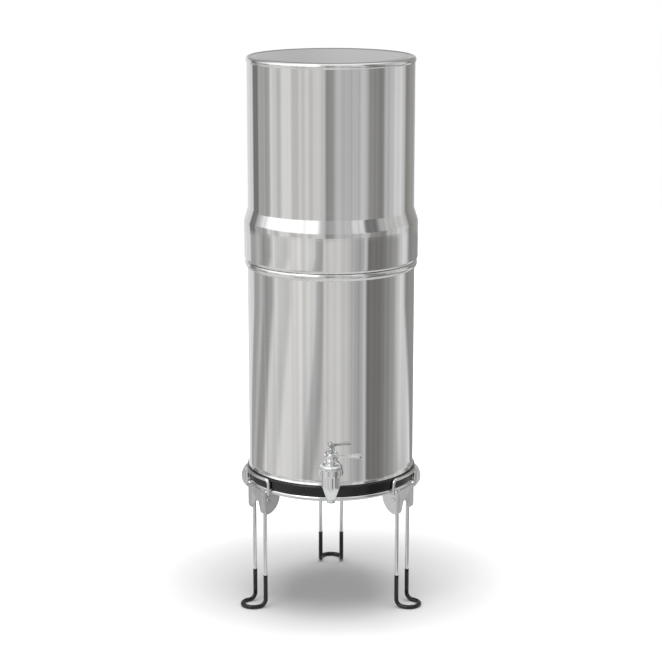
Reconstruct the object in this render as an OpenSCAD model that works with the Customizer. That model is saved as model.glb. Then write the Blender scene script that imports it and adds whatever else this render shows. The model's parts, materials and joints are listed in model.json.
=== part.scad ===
// Gravity water filter with tap: two stacked steel chambers on a folding wire stand.
// Millimetres, +Z up. The floor is z = 0 and the tap faces -Y.

/* [Chambers] */
// Outer diameter of the upper chamber
upper_d = 216; // [204:0.5:219]
// Outer diameter of the lower chamber
lower_d = 218.4; // [214:0.2:240]
// Thickness of the steel sheet of both chambers
wall_t = 0.9; // [0.7:0.1:1.4]
// Height of the upper chamber above the rim that it sits on
upper_h = 260; // [230:0.1:300]
// Height of the lower chamber with its rim
lower_h = 289.6; // [240:0.1:340]
// Height of the wide skirt of the upper chamber
skirt_h = 49.2; // [35:0.1:65]
// Height of the slope between the skirt and the wall above it
flare_h = 18.8; // [12:0.1:30]
// How far the skirt stands out past the rim below it
skirt_over = 0.8; // [0.4:0.1:2.5]
// Radius of the curled lower edge of the skirt
curl_r = 3.1; // [2:0.1:3.6]
// Depth of the spigot that drops into the lower chamber
spigot_h = 18.5; // [12:0.5:30]
// Height of the rolled rim of the lower chamber
bead_h = 9.2; // [8:0.1:15]
// How far the rolled rim stands out past the wall
bead_out = 3.5; // [2.5:0.1:5]
// Radius of the bottom corner of the lower chamber
corner_r = 8; // [4:0.5:14]

/* [Lid] */
// Thickness of the lid's sheet
lid_t = 1; // [0.8:0.1:1.6]
// Height of the lid's turned-down edge
lid_h = 8.4; // [6:0.1:14]
// Radius of the lid's rounded shoulder
lid_round = 3; // [1.8:0.1:5]

/* [Base ring] */
// Height of the black ring round the foot of the lower chamber
band_h = 13.8; // [12:0.1:26]
// Thickness of the ring's wall
band_t = 2.9; // [2:0.1:4]
// Thickness of the lip under the chamber
lip_t = 1.9; // [1.2:0.1:3]
// Width of the lip under the chamber
lip_w = 11.2; // [8:0.1:20]

/* [Stand] */
// Height of the wire ring's top above the floor
stand_h = 168.3; // [140:0.1:220]
// Diameter of the ring's wire
ring_wire_d = 6.4; // [5:0.1:8]
// Diameter of the leg wire
leg_wire_d = 4.8; // [4:0.1:5.6]
// Thickness of the dipped coating on the feet
coat_t = 0.4; // [0.3:0.05:0.8]
// Height of the coating above the floor
coat_h = 45; // [25:0.5:80]
// Distance between the two rods of a leg
rod_gap = 29.2; // [24:0.1:33]
// How far a foot reaches out from its rods
foot_reach = 25; // [25:0.1:40]
// Radius of the bend from rod to foot
foot_bend = 9; // [6:0.1:9.5]
// How far the leg pivots lie below the middle of the ring's wire
pivot_drop = 13.1; // [10:0.1:18]
// Distance of the leg pivots inside the outer face of their bracket
pivot_inset = 4.3; // [4.2:0.1:7]
// Width of a bracket across its two cheeks
bracket_w = 48.4; // [46:0.1:56]
// Height of a bracket
bracket_h = 30.5; // [27:0.1:38]
// Depth of a bracket's cheeks
cheek_reach = 21.6; // [16:0.1:30]
// Thickness of the bracket's sheet
sheet_t = 1.4; // [1:0.1:1.6]
// Diameter of the retaining loop's wire
loop_wire_d = 4.2; // [3.4:0.1:5]
// Height of the loop above the middle of the ring's wire
loop_h = 15.4; // [10:0.1:30]
// Half the angle that a loop covers on the ring
loop_angle = 15; // [14:0.1:20]
// Radius of the loop's upper corners
loop_bend = 6; // [4:0.1:8]
// Radius of the rounded ear beside a front loop
ear_r = 20.3; // [15:0.1:24]
// How far an ear stands out past the base ring
ear_out = 10; // [6:0.1:14]

/* [Tap] */
// Height of the tap's flange above the base ring
tap_rise = 3.8; // [0.3:0.1:30]
// Distance from the chamber's wall to the tap's upright axis
tap_reach = 25.6; // [24:0.1:40]
// Diameter of the tap's barrel
barrel_d = 24.4; // [22:0.1:26]
// Length of the barrel above the shank's axis
barrel_up = 11.1; // [10:0.1:18]
// Length of the barrel below the shank's axis
barrel_down = 15.8; // [12:0.1:20]
// Length of the tapered part below the barrel
cone_h = 13.4; // [8:0.1:20]
// Length of the outlet nozzle
nozzle_h = 4.7; // [4:0.1:16]
// Outer diameter of the outlet nozzle
nozzle_d = 10.8; // [10:0.1:13]
// Diameter of the waterway at the outlet
outlet_d = 7.2; // [5:0.1:8]
// Diameter of the threaded shank
shank_d = 16; // [14:0.1:18]
// Diameter of the flange against the chamber
flange_d = 32; // [28:0.1:38]
// Number of flutes round the barrel
flutes = 12; // [8:1:16]
// Height of the twelve-sided collar
collar_h = 6; // [4:0.1:10]
// How far the collar's corners stand out past the barrel
collar_out = 2.4; // [0.9:0.1:3]
// Height of the bonnet above the collar
bonnet_h = 9.2; // [6:0.1:14]
// Diameter of the bonnet's neck
bonnet_d = 14.4; // [13:0.1:16]
// Length of the lever from the tap's axis to its tip
lever_l = 40.4; // [32:0.1:60]
// Width of the lever's paddle
paddle_w = 12; // [8:0.1:16]
// Thickness of the lever
lever_t = 2.9; // [2:0.1:5]

/* [Filters] */
// Diameter of a ceramic candle
candle_d = 52; // [44:0.5:58]
// Height of a ceramic candle
candle_h = 180; // [120:1:210]
// Wall thickness of a candle
candle_t = 8; // [5:0.5:12]
// Distance of each candle from the chamber's axis
candle_place = 48; // [36:0.5:60]
// Distance of each blanking plug from the chamber's axis
plug_place = 48; // [40:0.5:70]
// Diameter of the stems through the chamber's floor
stem_d = 12; // [9:0.1:14]
// Length of the stems below the chamber's floor
stem_l = 24; // [18:0.5:36]

/* [Hidden] */
$fn = 96;

// Clearances: parts that lift apart, still fits, running fits, and a shank in its hole
lift_gap = 0.3;
fit_gap = 0.1;
run_gap = 0.05;
hole_gap = 0.4;

// Radii of the chambers and the rings round them
upper_r = upper_d / 2;
lower_r = lower_d / 2;
inner_r = lower_r - wall_t;
bead_r = lower_r + bead_out;
skirt_r = bead_r + skirt_over;
spigot_gap = 0.9;
spigot_r = inner_r - spigot_gap;
spigot_round = 4;
band_in = lower_r + fit_gap;
band_r = band_in + band_t;

// Heights, from the floor up
ring_r = band_r - 2.4;
ring_z = stand_h - ring_wire_d / 2;
band_z = stand_h + lift_gap;
band_top = band_z + band_h;
base_z = band_z + lip_t + fit_gap;
rim_z = base_z + lower_h;
bead_mid = rim_z - bead_h * 0.42;
seat_z = rim_z + lift_gap;
skirt_z = seat_z + skirt_h;
flare_z = skirt_z + flare_h;
top_z = seat_z + upper_h;
spigot_z = seat_z - spigot_h;
floor_z = spigot_z + wall_t;

// Filter pieces on the upper chamber's floor
washer_t = 2;
washer_r = stem_d / 2 + 7;
cap_z = floor_z + washer_t;
cap_h = 14;
cap_floor = 4;
cap_wall = 2;
nut_h = 10;
core_gap = 1;
stem_bore = 5;

// Stand: leg_r is the radius of the rods, bracket_r that of the bracket's outer face
bracket_r = ring_r + ring_wire_d / 2 - 0.1;
leg_r = bracket_r - pivot_inset;
pivot_z = ring_z - pivot_drop;
bracket_top = ring_z - 2.6;
bracket_bot = bracket_top - bracket_h;
coat_r = leg_wire_d / 2 + coat_t;
foot_flat = coat_t / 2;
foot_z = coat_r - foot_flat;
foot_arc = rod_gap / 2;
foot_run = foot_reach - foot_bend - foot_arc;
pin_bend = 5;
pin_proud = 1.4;
loop_r = ring_r + ring_wire_d / 2 + loop_wire_d / 2;
loop_z = ring_z + loop_h;
loop_bot = ring_z - 4.6;
bend_angle = atan(loop_bend / loop_r);
loop_half = loop_angle - bend_angle;

// Tap, about its own upright axis
tap_y = -(lower_r + tap_reach);
shank_z = band_top + tap_rise + flange_d / 2;
barrel_r = barrel_d / 2;
barrel_top = shank_z + barrel_up;
barrel_bot = shank_z - barrel_down;
cone_bot = barrel_bot - cone_h;
nozzle_bot = cone_bot - nozzle_h;
flute_z = barrel_top - 7;
plug_r = barrel_r - 4.2;
plug_bot = shank_z - plug_r - lift_gap;
port_r = 4.5;
tap_stem_r = 3.5;
collar_r = barrel_r + collar_out;
collar_top = barrel_top + collar_h;
bonnet_top = collar_top + bonnet_h;
bonnet_flange_r = barrel_r - 1.7;
bonnet_flange_h = 2.5;
seal_r = 0.95;
lever_z = bonnet_top + lift_gap;
hub_r = bonnet_d / 2 + 0.2;
screw_r = 3.2;
screw_h = 1.5;
screw_core = 1.6;
tap_washer_t = 1.8;
flange_t = 3.2;
flange_y = -(lower_r + tap_washer_t);
inner_washer_y = -(inner_r - 3.8);
flat_washer_t = 1.2;
back_nut_h = 6;
shank_end = inner_washer_y + flat_washer_t + back_nut_h + 4;

// The box round the whole part is centred on x = 0 and y = 0
front_reach = lower_r + tap_reach + max(barrel_r, collar_r);
rear_reach = leg_r + foot_reach + coat_r;
axis_y = (front_reach - rear_reach) / 2;

steel = [0.78, 0.78, 0.77];
chrome = [0.85, 0.86, 0.87];
black = [0.07, 0.07, 0.07];
ceramic = [0.93, 0.92, 0.88];
plastic = [0.88, 0.9, 0.92];
rubber = [0.3, 0.3, 0.31];

// Points on an oval of half-widths a and b round c, from angle from to angle to
function oval(c, a, b, from, to, n = 8) =
    [for (i = [0:n]) let (t = from + (to - from) * i / n) c + [a * cos(t), b * sin(t)]];
function arc(c, r, from, to, n = 8) = oval(c, r, r, from, to, n);

module on_axis() translate([0, axis_y, 0]) children();
module turned(points) on_axis() rotate_extrude() polygon(points);
module tube(outer, inner, from, to) translate([0, 0, from]) difference() {
    cylinder(r = outer, h = to - from);
    translate([0, 0, -1]) cylinder(r = inner, h = to - from + 2);
}
module at_tap() on_axis() translate([0, tap_y, 0]) children();
// A round bar along Y at the height of the shank
module bar(r, from, to, sides = $fn) translate([0, to, shank_z]) rotate([90, 0, 0])
    cylinder(r = r, h = to - from, $fn = sides);
module at_leg(azimuth) on_axis() rotate([0, 0, azimuth]) children();
module ring_wire(r) rotate_extrude() translate([ring_r, 0]) circle(r = r);

// Lid: a flat disc with a turned-down edge. The rim stands where its rounded shoulder starts.
module lid() {
    lid_in = upper_r + lift_gap;
    lid_r = lid_in + lid_t;
    under = top_z + lid_round - lid_t;
    lid_top = under + lid_t;
    edge = lid_top - lid_h;
    color(steel) turned(concat(
        [[0, lid_top]],
        arc([lid_r - lid_round, lid_top - lid_round], lid_round, 90, 0),
        [[lid_r, edge], [lid_in, edge]],
        arc([lid_r - lid_round, lid_top - lid_round], lid_round - lid_t, 0, 90),
        [[0, under]]));
}

// Upper chamber: wall, flare, skirt, spigot and floor in one sheet
module upper_chamber() {
    knee = 3.6;
    soft = 0.3;
    curl = [skirt_r - curl_r, seat_z + curl_r];
    bend = [spigot_r - spigot_round, spigot_z + spigot_round];
    outer = concat(
        [[upper_r, top_z], [upper_r, flare_z], [skirt_r - soft, skirt_z + knee],
         [skirt_r, skirt_z]],
        arc(curl, curl_r, 0, -90),
        [[spigot_r, seat_z]],
        arc(bend, spigot_round, 0, -90),
        [[0, spigot_z]]);
    inner = concat(
        [[0, floor_z]],
        arc(bend, spigot_round - wall_t, -90, 0),
        [[spigot_r - wall_t, seat_z + wall_t]],
        arc(curl, curl_r - wall_t, -90, 0),
        [[skirt_r - wall_t, skirt_z], [skirt_r - soft - wall_t, skirt_z + knee],
         [upper_r - wall_t, flare_z], [upper_r - wall_t, top_z]]);
    color(steel) difference() {
        turned(concat(outer, inner));
        on_axis() for (p = concat(candle_spots(), plug_spots()))
            translate([p[0], p[1], spigot_z - 1])
                cylinder(r = stem_d / 2 + lift_gap, h = wall_t + 2);
    }
}

function candle_spots() = [[-candle_place, 0], [candle_place, 0]];
function plug_spots() = [[0, -plug_place], [0, plug_place]];

// Candle: a porous ceramic shell with a domed top, open below
module candle(x) {
    r = candle_d / 2;
    from = cap_z + cap_floor;
    to = from + candle_h - r;
    color(ceramic) on_axis() translate([x, 0, 0]) rotate_extrude() polygon(concat(
        [[r, from]],
        arc([0, to], r, 0, 90, 16),
        arc([0, to], r - candle_t, 90, 0, 16),
        [[r - candle_t, from]]));
}

// Carbon core that fills the candle
module carbon_core(x) {
    r = candle_d / 2 - candle_t - core_gap;
    from = cap_z + cap_floor;
    to = from + candle_h - candle_d / 2;
    color(black) on_axis() translate([x, 0, 0]) rotate_extrude() polygon(concat(
        [[0, from]], [[r, from]], arc([0, to], r, 0, 90, 12)));
}

// Candle base: a cup with a hollow threaded stem
module candle_base(x) {
    r = candle_d / 2 + fit_gap;
    color(plastic) on_axis() translate([x, 0, 0]) difference() {
        union() {
            translate([0, 0, cap_z]) cylinder(r = r + cap_wall, h = cap_h);
            translate([0, 0, spigot_z - stem_l])
                cylinder(r = stem_d / 2, h = cap_z - spigot_z + stem_l + 1);
        }
        translate([0, 0, cap_z + cap_floor]) cylinder(r = r, h = cap_h);
        translate([0, 0, spigot_z - stem_l - 1])
            cylinder(r = stem_bore / 2, h = cap_z + cap_floor - spigot_z + stem_l + 2);
    }
}

module seal_rings(spots) color(rubber) on_axis() for (p = spots) translate([p[0], p[1], 0])
    tube(washer_r, stem_d / 2 + fit_gap, floor_z, cap_z);

// Wing nuts that pull the candle bases down on their washers
module wing_nuts() {
    hub = stem_d / 2 + 3.5;
    wing_l = 11;
    wing_t = 3;
    color(plastic) on_axis() for (p = candle_spots()) translate([p[0], p[1], spigot_z - nut_h])
        difference() {
            union() {
                cylinder(r = hub, h = nut_h);
                translate([-wing_t / 2, -hub - wing_l + 2, 0])
                    cube([wing_t, 2 * (hub + wing_l - 2), nut_h - 1]);
            }
            translate([0, 0, -1]) cylinder(r = stem_d / 2 + run_gap, h = nut_h + 2);
        }
}

// Plugs that close the two spare holes
module blanking_plugs() {
    head = 6;
    color(plastic) on_axis() for (p = plug_spots()) translate([p[0], p[1], 0]) {
        translate([0, 0, cap_z]) cylinder(r = washer_r, h = head - 1.5);
        translate([0, 0, cap_z + head - 1.5])
            cylinder(r1 = washer_r, r2 = washer_r - 2, h = 1.5);
        translate([0, 0, spigot_z - nut_h - 3])
            cylinder(r = stem_d / 2, h = cap_z - spigot_z + nut_h + 4);
    }
}

module plug_nuts() color(plastic) on_axis() for (p = plug_spots())
    translate([p[0], p[1], spigot_z - nut_h]) difference() {
        cylinder(r = stem_d / 2 + 5, h = nut_h, $fn = 6);
        translate([0, 0, -1]) cylinder(r = stem_d / 2 + run_gap, h = nut_h + 2);
    }

// Lower chamber: rolled rim, wall, rounded corner and floor
module lower_chamber() {
    rim_mid = inner_r + (bead_r - inner_r) / 2;
    corner = [lower_r - corner_r, base_z + corner_r];
    color(steel) difference() {
        turned(concat(
            oval([rim_mid, rim_z - 2.2], rim_mid - inner_r, 2.2, 180, 90, 5),
            oval([rim_mid, bead_mid], bead_r - rim_mid, rim_z - bead_mid, 90, 0, 6),
            oval([lower_r, bead_mid], bead_out, bead_h - rim_z + bead_mid, 0, -90, 8),
            arc(corner, corner_r, 0, -90),
            [[0, base_z], [0, base_z + wall_t]],
            arc(corner, corner_r - wall_t, -90, 0)));
        on_axis() bar(shank_d / 2 + hole_gap, -lower_r - 1, shank_end);
    }
}

// Black ring round the foot of the lower chamber, with a lip under it
module base_ring() {
    round_h = 3.4;
    lip_in = lower_r - lip_w;
    color(black) turned(concat(
        [[band_in, band_z + lip_t]],
        oval([band_in, band_top - round_h], band_t, round_h, 90, 0, 6),
        [[band_r, band_z + 1], [band_r - 1, band_z], [lip_in, band_z],
         [lip_in, band_z + lip_t]]));
}

// Tap body: fluted barrel, cone, nozzle, flange and shank round one waterway
module tap_body() {
    flute_r = 3;
    flute_depth = 0.8;
    color(chrome) difference() {
        union() {
            at_tap() {
                translate([0, 0, barrel_bot]) cylinder(r = barrel_r, h = barrel_top - barrel_bot);
                translate([0, 0, cone_bot]) cylinder(r1 = nozzle_d / 2, r2 = barrel_r, h = cone_h);
                translate([0, 0, nozzle_bot]) cylinder(r = nozzle_d / 2, h = nozzle_h + 0.5);
            }
            on_axis() {
                bar(shank_d / 2, tap_y, shank_end);
                bar(flange_d / 2, flange_y - flange_t / 2, flange_y);
                translate([0, flange_y - flange_t / 2, shank_z]) rotate([90, 0, 0])
                    cylinder(r1 = flange_d / 2, r2 = flange_d / 2 - 3, h = flange_t / 2);
            }
        }
        at_tap() {
            translate([0, 0, plug_bot]) cylinder(r = plug_r, h = barrel_top - plug_bot + 1);
            translate([0, 0, nozzle_bot - 1])
                cylinder(r = outlet_d / 2, h = plug_bot - nozzle_bot + 2);
            for (i = [0:flutes - 1]) rotate([0, 0, (i + 0.5) * 360 / flutes])
                translate([barrel_r + flute_r - flute_depth, 0, barrel_bot - cone_h / 3])
                    cylinder(r = flute_r, h = flute_z - barrel_bot + cone_h / 3, $fn = 32);
        }
        on_axis() bar(port_r, tap_y, shank_end + 1);
    }
}

// Twelve-sided collar that clamps the bonnet on the barrel
module tap_collar() color(chrome) at_tap() difference() {
    translate([0, 0, barrel_top]) cylinder(r = collar_r, h = collar_h, $fn = 12);
    translate([0, 0, barrel_top - 1])
        cylinder(r = bonnet_flange_r + fit_gap, h = bonnet_flange_h + fit_gap + 1);
    translate([0, 0, barrel_top]) cylinder(r = bonnet_d / 2 + fit_gap, h = collar_h + 1);
}

// Bonnet: a flanged neck round the valve's stem, with a pocket for its seal
module tap_bonnet() color(chrome) at_tap() difference() {
    union() {
        translate([0, 0, barrel_top]) cylinder(r = bonnet_flange_r, h = bonnet_flange_h);
        translate([0, 0, barrel_top]) cylinder(r = bonnet_d / 2, h = bonnet_top - barrel_top);
    }
    translate([0, 0, barrel_top - 1])
        cylinder(r = tap_stem_r + run_gap, h = bonnet_top - barrel_top + 2);
    translate([0, 0, barrel_top - 1])
        cylinder(r = tap_stem_r + 2 * seal_r + 2 * fit_gap, h = 2 * seal_r + 2 * fit_gap + 1);
}

// Valve plug: the side port turns to the shank when the lever points forward
module tap_plug() color(chrome) at_tap() difference() {
    union() {
        translate([0, 0, plug_bot + fit_gap])
            cylinder(r = plug_r - run_gap, h = barrel_top - plug_bot - 3 * fit_gap);
        translate([0, 0, barrel_top - 1])
            cylinder(r = tap_stem_r, h = lever_z + lever_t - barrel_top + 1);
    }
    translate([0, 0, plug_bot - 1]) cylinder(r = outlet_d / 2, h = shank_z - plug_bot + 1);
    translate([0, 0, shank_z]) rotate([0, -90, 0]) cylinder(r = port_r, h = plug_r + 1);
    translate([0, 0, lever_z - 6]) cylinder(r = screw_core + run_gap, h = lever_t + 7);
}

module stem_seal() color(rubber) at_tap() translate([0, 0, barrel_top + seal_r + fit_gap])
    rotate_extrude() translate([tap_stem_r + seal_r + fit_gap, 0]) circle(r = seal_r);

// Lever: a flat strap with a round hub, a narrow neck and a paddle
module tap_lever() {
    neck = 2.3;
    tip = paddle_w / 2;
    color(chrome) at_tap() translate([0, 0, lever_z]) difference() {
        linear_extrude(lever_t) union() {
            circle(r = hub_r);
            polygon([[0, -neck - 2], [hub_r + 4, -neck], [lever_l / 2, -neck],
                     [lever_l - tip, -tip], [lever_l - tip, tip], [lever_l / 2, neck],
                     [hub_r + 4, neck], [0, neck + 2]]);
            translate([lever_l - tip, 0]) circle(r = tip);
        }
        translate([0, 0, -1]) cylinder(r = tap_stem_r + run_gap, h = lever_t + 2);
    }
}

module lever_screw() color(chrome) at_tap() translate([0, 0, lever_z + lever_t])
    difference() {
        union() {
            cylinder(r1 = screw_r + 1, r2 = screw_r, h = screw_h);
            translate([0, 0, -lever_t - 5]) cylinder(r = screw_core, h = lever_t + 6);
        }
        translate([-0.5, -screw_r - 2, screw_h - 0.7]) cube([1, 2 * screw_r + 4, 2]);
    }

// Rubber washer between the flange and the curved wall
module tap_outer_washer() color(rubber) on_axis() difference() {
    bar(flange_d / 2 - 1.5, flange_y, -lower_r + 4);
    bar(shank_d / 2 + fit_gap, flange_y - 1, -lower_r + 5);
    cylinder(r = lower_r + run_gap, h = rim_z, $fn = 720);
}

module tap_inner_washer() color(rubber) on_axis() difference() {
    intersection() {
        bar(flange_d / 2 - 2, -lower_r, inner_washer_y);
        cylinder(r = inner_r - run_gap, h = rim_z, $fn = 720);
    }
    bar(shank_d / 2 + fit_gap, -lower_r - 1, inner_washer_y + 1);
}

module tap_flat_washer() color(steel) on_axis() difference() {
    bar(flange_d / 2 - 3, inner_washer_y, inner_washer_y + flat_washer_t);
    bar(shank_d / 2 + fit_gap, inner_washer_y - 1, inner_washer_y + flat_washer_t + 1);
}

module tap_back_nut() {
    from = inner_washer_y + flat_washer_t;
    color(chrome) on_axis() difference() {
        bar(shank_d / 2 + 4.5, from, from + back_nut_h, 6);
        bar(shank_d / 2 + run_gap, from - 1, from + back_nut_h + 1);
    }
}

module stand_ring() color(chrome) on_axis() translate([0, 0, ring_z])
    ring_wire(ring_wire_d / 2);

// Bracket: a web outside the rods and a cheek on each side, bent from one sheet
module bracket(azimuth) {
    half = bracket_w / 2;
    notch_w = bracket_w * 0.18;
    notch_top = bracket_bot + bracket_h * 0.45;
    apex_w = notch_w * 0.45;
    lobe = 4;
    cheek_mid = [bracket_r - sheet_t / 2, bracket_top - 4];
    cheek = concat(
        oval(cheek_mid, cheek_reach - sheet_t / 2, cheek_mid[1] - bracket_bot, 270, 180, 14),
        [[bracket_r - cheek_reach, bracket_top], [cheek_mid[0], bracket_top]]);
    web = concat(
        [[-half, bracket_top], [-half, bracket_bot + lobe]],
        arc([-half + lobe, bracket_bot + lobe], lobe, 180, 270, 4),
        arc([-notch_w - lobe, bracket_bot + lobe], lobe, 270, 360, 4),
        [[-apex_w, notch_top], [apex_w, notch_top]],
        arc([notch_w + lobe, bracket_bot + lobe], lobe, 180, 270, 4),
        arc([half - lobe, bracket_bot + lobe], lobe, 270, 360, 4),
        [[half, bracket_bot + lobe], [half, bracket_top]]);
    color(steel) at_leg(azimuth) difference() {
        union() {
            translate([0, sheet_t - bracket_r, 0]) rotate([90, 0, 0])
                linear_extrude(sheet_t) polygon(web);
            for (x = [half, sheet_t - half]) translate([x, 0, 0]) rotate([90, 0, -90])
                linear_extrude(sheet_t) polygon(cheek);
        }
        translate([0, 0, ring_z]) ring_wire(ring_wire_d / 2 + 0.02);
        translate([-half - 1, -leg_r, pivot_z]) rotate([0, 90, 0])
            cylinder(d = leg_wire_d + 2 * (run_gap + 0.03), h = bracket_w + 2);
    }
}

// Retaining loop: an upright wire hoop that follows the base ring
module loop(azimuth) color(chrome) at_leg(azimuth) {
    lap = 0.1;
    translate([0, 0, loop_z]) rotate([0, 0, -90 - loop_half - lap])
        rotate_extrude(angle = 2 * (loop_half + lap)) translate([loop_r, 0])
            circle(d = loop_wire_d);
    for (s = [-1, 1]) rotate([0, 0, s * loop_half]) translate([0, -loop_r, 0]) {
        translate([-0.4, 0, loop_z]) rotate([0, 90, 0])
            cylinder(d = loop_wire_d + 0.1, h = 0.8);
        translate([0, 0, loop_z - loop_bend]) rotate([90, 0, 0])
            rotate([0, 0, s > 0 ? 0 : 90]) rotate_extrude(angle = 90)
                translate([loop_bend, 0]) circle(d = loop_wire_d);
        translate([s * loop_bend, 0, loop_bot])
            cylinder(d = loop_wire_d, h = loop_z - loop_bend - loop_bot);
    }
}

// Ear: a rounded plate against the outer side of a loop's rear rod
module ear(azimuth, side) {
    inner = band_r + 0.9;
    mid = [band_r + ear_out - ear_r, ring_z + 6.2];
    face = loop_bend + loop_wire_d / 2 + 0.02;
    color(steel) at_leg(azimuth) rotate([0, 0, side * loop_half])
        translate([side > 0 ? face + sheet_t : -face, 0, 0]) rotate([90, 0, -90])
            linear_extrude(sheet_t) intersection() {
                translate(mid) circle(r = ear_r);
                translate([inner, mid[1] - ear_r]) square([ear_out, 2 * ear_r]);
            }
}

// One leg as a round bar of radius r: pins, rods and the U of the foot
module hairpin(r, pins) {
    arc_y = -leg_r - foot_bend - foot_run;
    for (s = [-1, 1]) translate([s * foot_arc, 0, 0]) {
        if (pins) {
            translate([s * pin_bend, -leg_r, pivot_z]) rotate([0, s * 90, 0])
                cylinder(r = r, h = bracket_w / 2 + pin_proud - foot_arc - pin_bend);
            translate([s * pin_bend, -leg_r, pivot_z - pin_bend]) rotate([90, 0, 0])
                rotate([0, 0, s > 0 ? 90 : 0]) rotate_extrude(angle = 90)
                    translate([pin_bend, 0]) circle(r = r);
        }
        translate([0, -leg_r, foot_z + foot_bend])
            cylinder(r = r, h = pivot_z - pin_bend - foot_z - foot_bend);
        translate([0, -leg_r - foot_bend, foot_z + foot_bend]) rotate([90, 0, 90])
            rotate([0, 0, -90]) rotate_extrude(angle = 90)
                translate([foot_bend, 0]) circle(r = r);
        if (foot_run > 0) translate([0, -leg_r - foot_bend, foot_z]) rotate([90, 0, 0])
            cylinder(r = r, h = foot_run);
    }
    translate([0, arc_y, foot_z]) rotate([0, 0, 180]) rotate_extrude(angle = 180)
        translate([foot_arc, 0]) circle(r = r);
}

module leg(azimuth) color(chrome) at_leg(azimuth) hairpin(leg_wire_d / 2, true);

// Dipped coating: a skin round the lower rods and the foot, flat underneath
module foot_coat(azimuth) {
    reach = leg_r + foot_reach + coat_r + 1;
    span = foot_arc + coat_r + 1;
    color(black) at_leg(azimuth) difference() {
        intersection() {
            hairpin(coat_r, false);
            translate([-span, -reach, 0]) cube([2 * span, reach, coat_h]);
        }
        hairpin(leg_wire_d / 2 + 0.02, false);
    }
}

left = -60;
right = 60;
rear = 180;

lid();
upper_chamber();
candle(-candle_place);  // candle_left
candle(candle_place);  // candle_right
carbon_core(-candle_place);  // carbon_core_left
carbon_core(candle_place);  // carbon_core_right
candle_base(-candle_place);  // candle_base_left
candle_base(candle_place);  // candle_base_right
seal_rings(candle_spots());  // candle_washers
wing_nuts();
blanking_plugs();
seal_rings(plug_spots());  // plug_washers
plug_nuts();
lower_chamber();
base_ring();
tap_body();
tap_collar();
tap_bonnet();
tap_plug();
stem_seal();
tap_lever();
lever_screw();
tap_outer_washer();
tap_inner_washer();
tap_flat_washer();
tap_back_nut();
stand_ring();
bracket(left);  // bracket_left
bracket(right);  // bracket_right
bracket(rear);  // bracket_rear
loop(left);  // loop_left
loop(right);  // loop_right
loop(rear);  // loop_rear
ear(left, -1);  // ear_left
ear(right, 1);  // ear_right
leg(left);  // leg_left
leg(right);  // leg_right
leg(rear);  // leg_rear
foot_coat(left);  // foot_coat_left
foot_coat(right);  // foot_coat_right
foot_coat(rear);  // foot_coat_rear
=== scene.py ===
# %% [markdown]
# # A gravity water filter with a tap
# Water is poured into the upper chamber, seeps through two ceramic candles and collects in the
# lower chamber, where a lever tap lets it out. A wire ring on three folding legs carries it all.
# This lesson dresses the exact model of that filter: it keeps every size and gives each piece the
# smooth surface, the small radii and the finish that the real one has.

# %% Load the frame
import json
import math

import bmesh
import bpy
from mathutils import Matrix, Vector


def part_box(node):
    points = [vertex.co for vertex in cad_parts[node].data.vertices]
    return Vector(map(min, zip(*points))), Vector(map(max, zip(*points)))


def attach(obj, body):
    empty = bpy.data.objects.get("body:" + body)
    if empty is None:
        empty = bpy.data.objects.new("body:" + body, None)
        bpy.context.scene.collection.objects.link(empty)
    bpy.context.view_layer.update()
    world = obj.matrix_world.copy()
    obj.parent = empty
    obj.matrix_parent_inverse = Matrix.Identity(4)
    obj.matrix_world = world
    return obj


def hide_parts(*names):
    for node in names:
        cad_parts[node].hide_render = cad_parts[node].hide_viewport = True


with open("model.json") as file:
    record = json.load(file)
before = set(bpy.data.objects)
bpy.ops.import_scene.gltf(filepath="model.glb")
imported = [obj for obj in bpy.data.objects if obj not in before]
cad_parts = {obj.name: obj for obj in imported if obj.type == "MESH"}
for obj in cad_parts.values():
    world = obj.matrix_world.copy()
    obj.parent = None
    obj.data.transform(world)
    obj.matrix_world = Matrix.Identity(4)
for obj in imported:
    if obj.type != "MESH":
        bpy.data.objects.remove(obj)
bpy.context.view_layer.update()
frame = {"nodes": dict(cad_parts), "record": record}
nodes = frame["nodes"]
print("nodes in the frame:", len(nodes))

# %% [markdown]
# ## Sizes
# The filter is turned on one upright axis, so most sizes are a radius and a height. They are
# read from the model's own boxes where a box gives them, and are in millimetres because sheet,
# wire and threads are sold that way. One factor turns them into metres.

# %% Read the sizes
MM = 0.001


def corners(node):
    """Lowest and highest corner of a node, in millimetres."""
    low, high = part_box(node)
    return [c / MM for c in low], [c / MM for c in high]


lower_low, lower_high = corners("lower_chamber")
upper_low, upper_high = corners("upper_chamber")
ring_low, ring_high = corners("stand_ring")
band_low, band_high = corners("base_ring")
barrel_low, barrel_high = corners("tap_body")

AXIS_Y = (lower_low[1] + lower_high[1]) / 2
SHEET, BEAD_OUT = 0.9, 3.5
BEAD_R = (lower_high[0] - lower_low[0]) / 2
LOWER_R = BEAD_R - BEAD_OUT
UPPER_R = 108.0
SKIRT_R = (upper_high[0] - upper_low[0]) / 2
BASE_Z, RIM_Z = lower_low[2], lower_high[2]
SEAT_Z, TOP_Z, SPIGOT_Z = RIM_Z + 0.3, upper_high[2], upper_low[2]
BAND_R = (band_high[0] - band_low[0]) / 2
BAND_Z, BAND_TOP = band_low[2], band_high[2]
WIRE_R = (ring_high[2] - ring_low[2]) / 2
RING_R = (ring_high[0] - ring_low[0]) / 2 - WIRE_R
RING_Z = ring_low[2] + WIRE_R
print("axis y %.2f, chamber radius %.2f, rim at %.2f, top at %.2f" % (AXIS_Y, LOWER_R, RIM_Z, TOP_Z))

# %% [markdown]
# ## The camera
# The photograph looks down on the filter from a little above its lid. A lens with a strong shift
# would keep the walls upright, but the other views need the object in the middle, so the camera is
# tilted instead, and stands far enough back that the walls run together only slightly.

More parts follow.
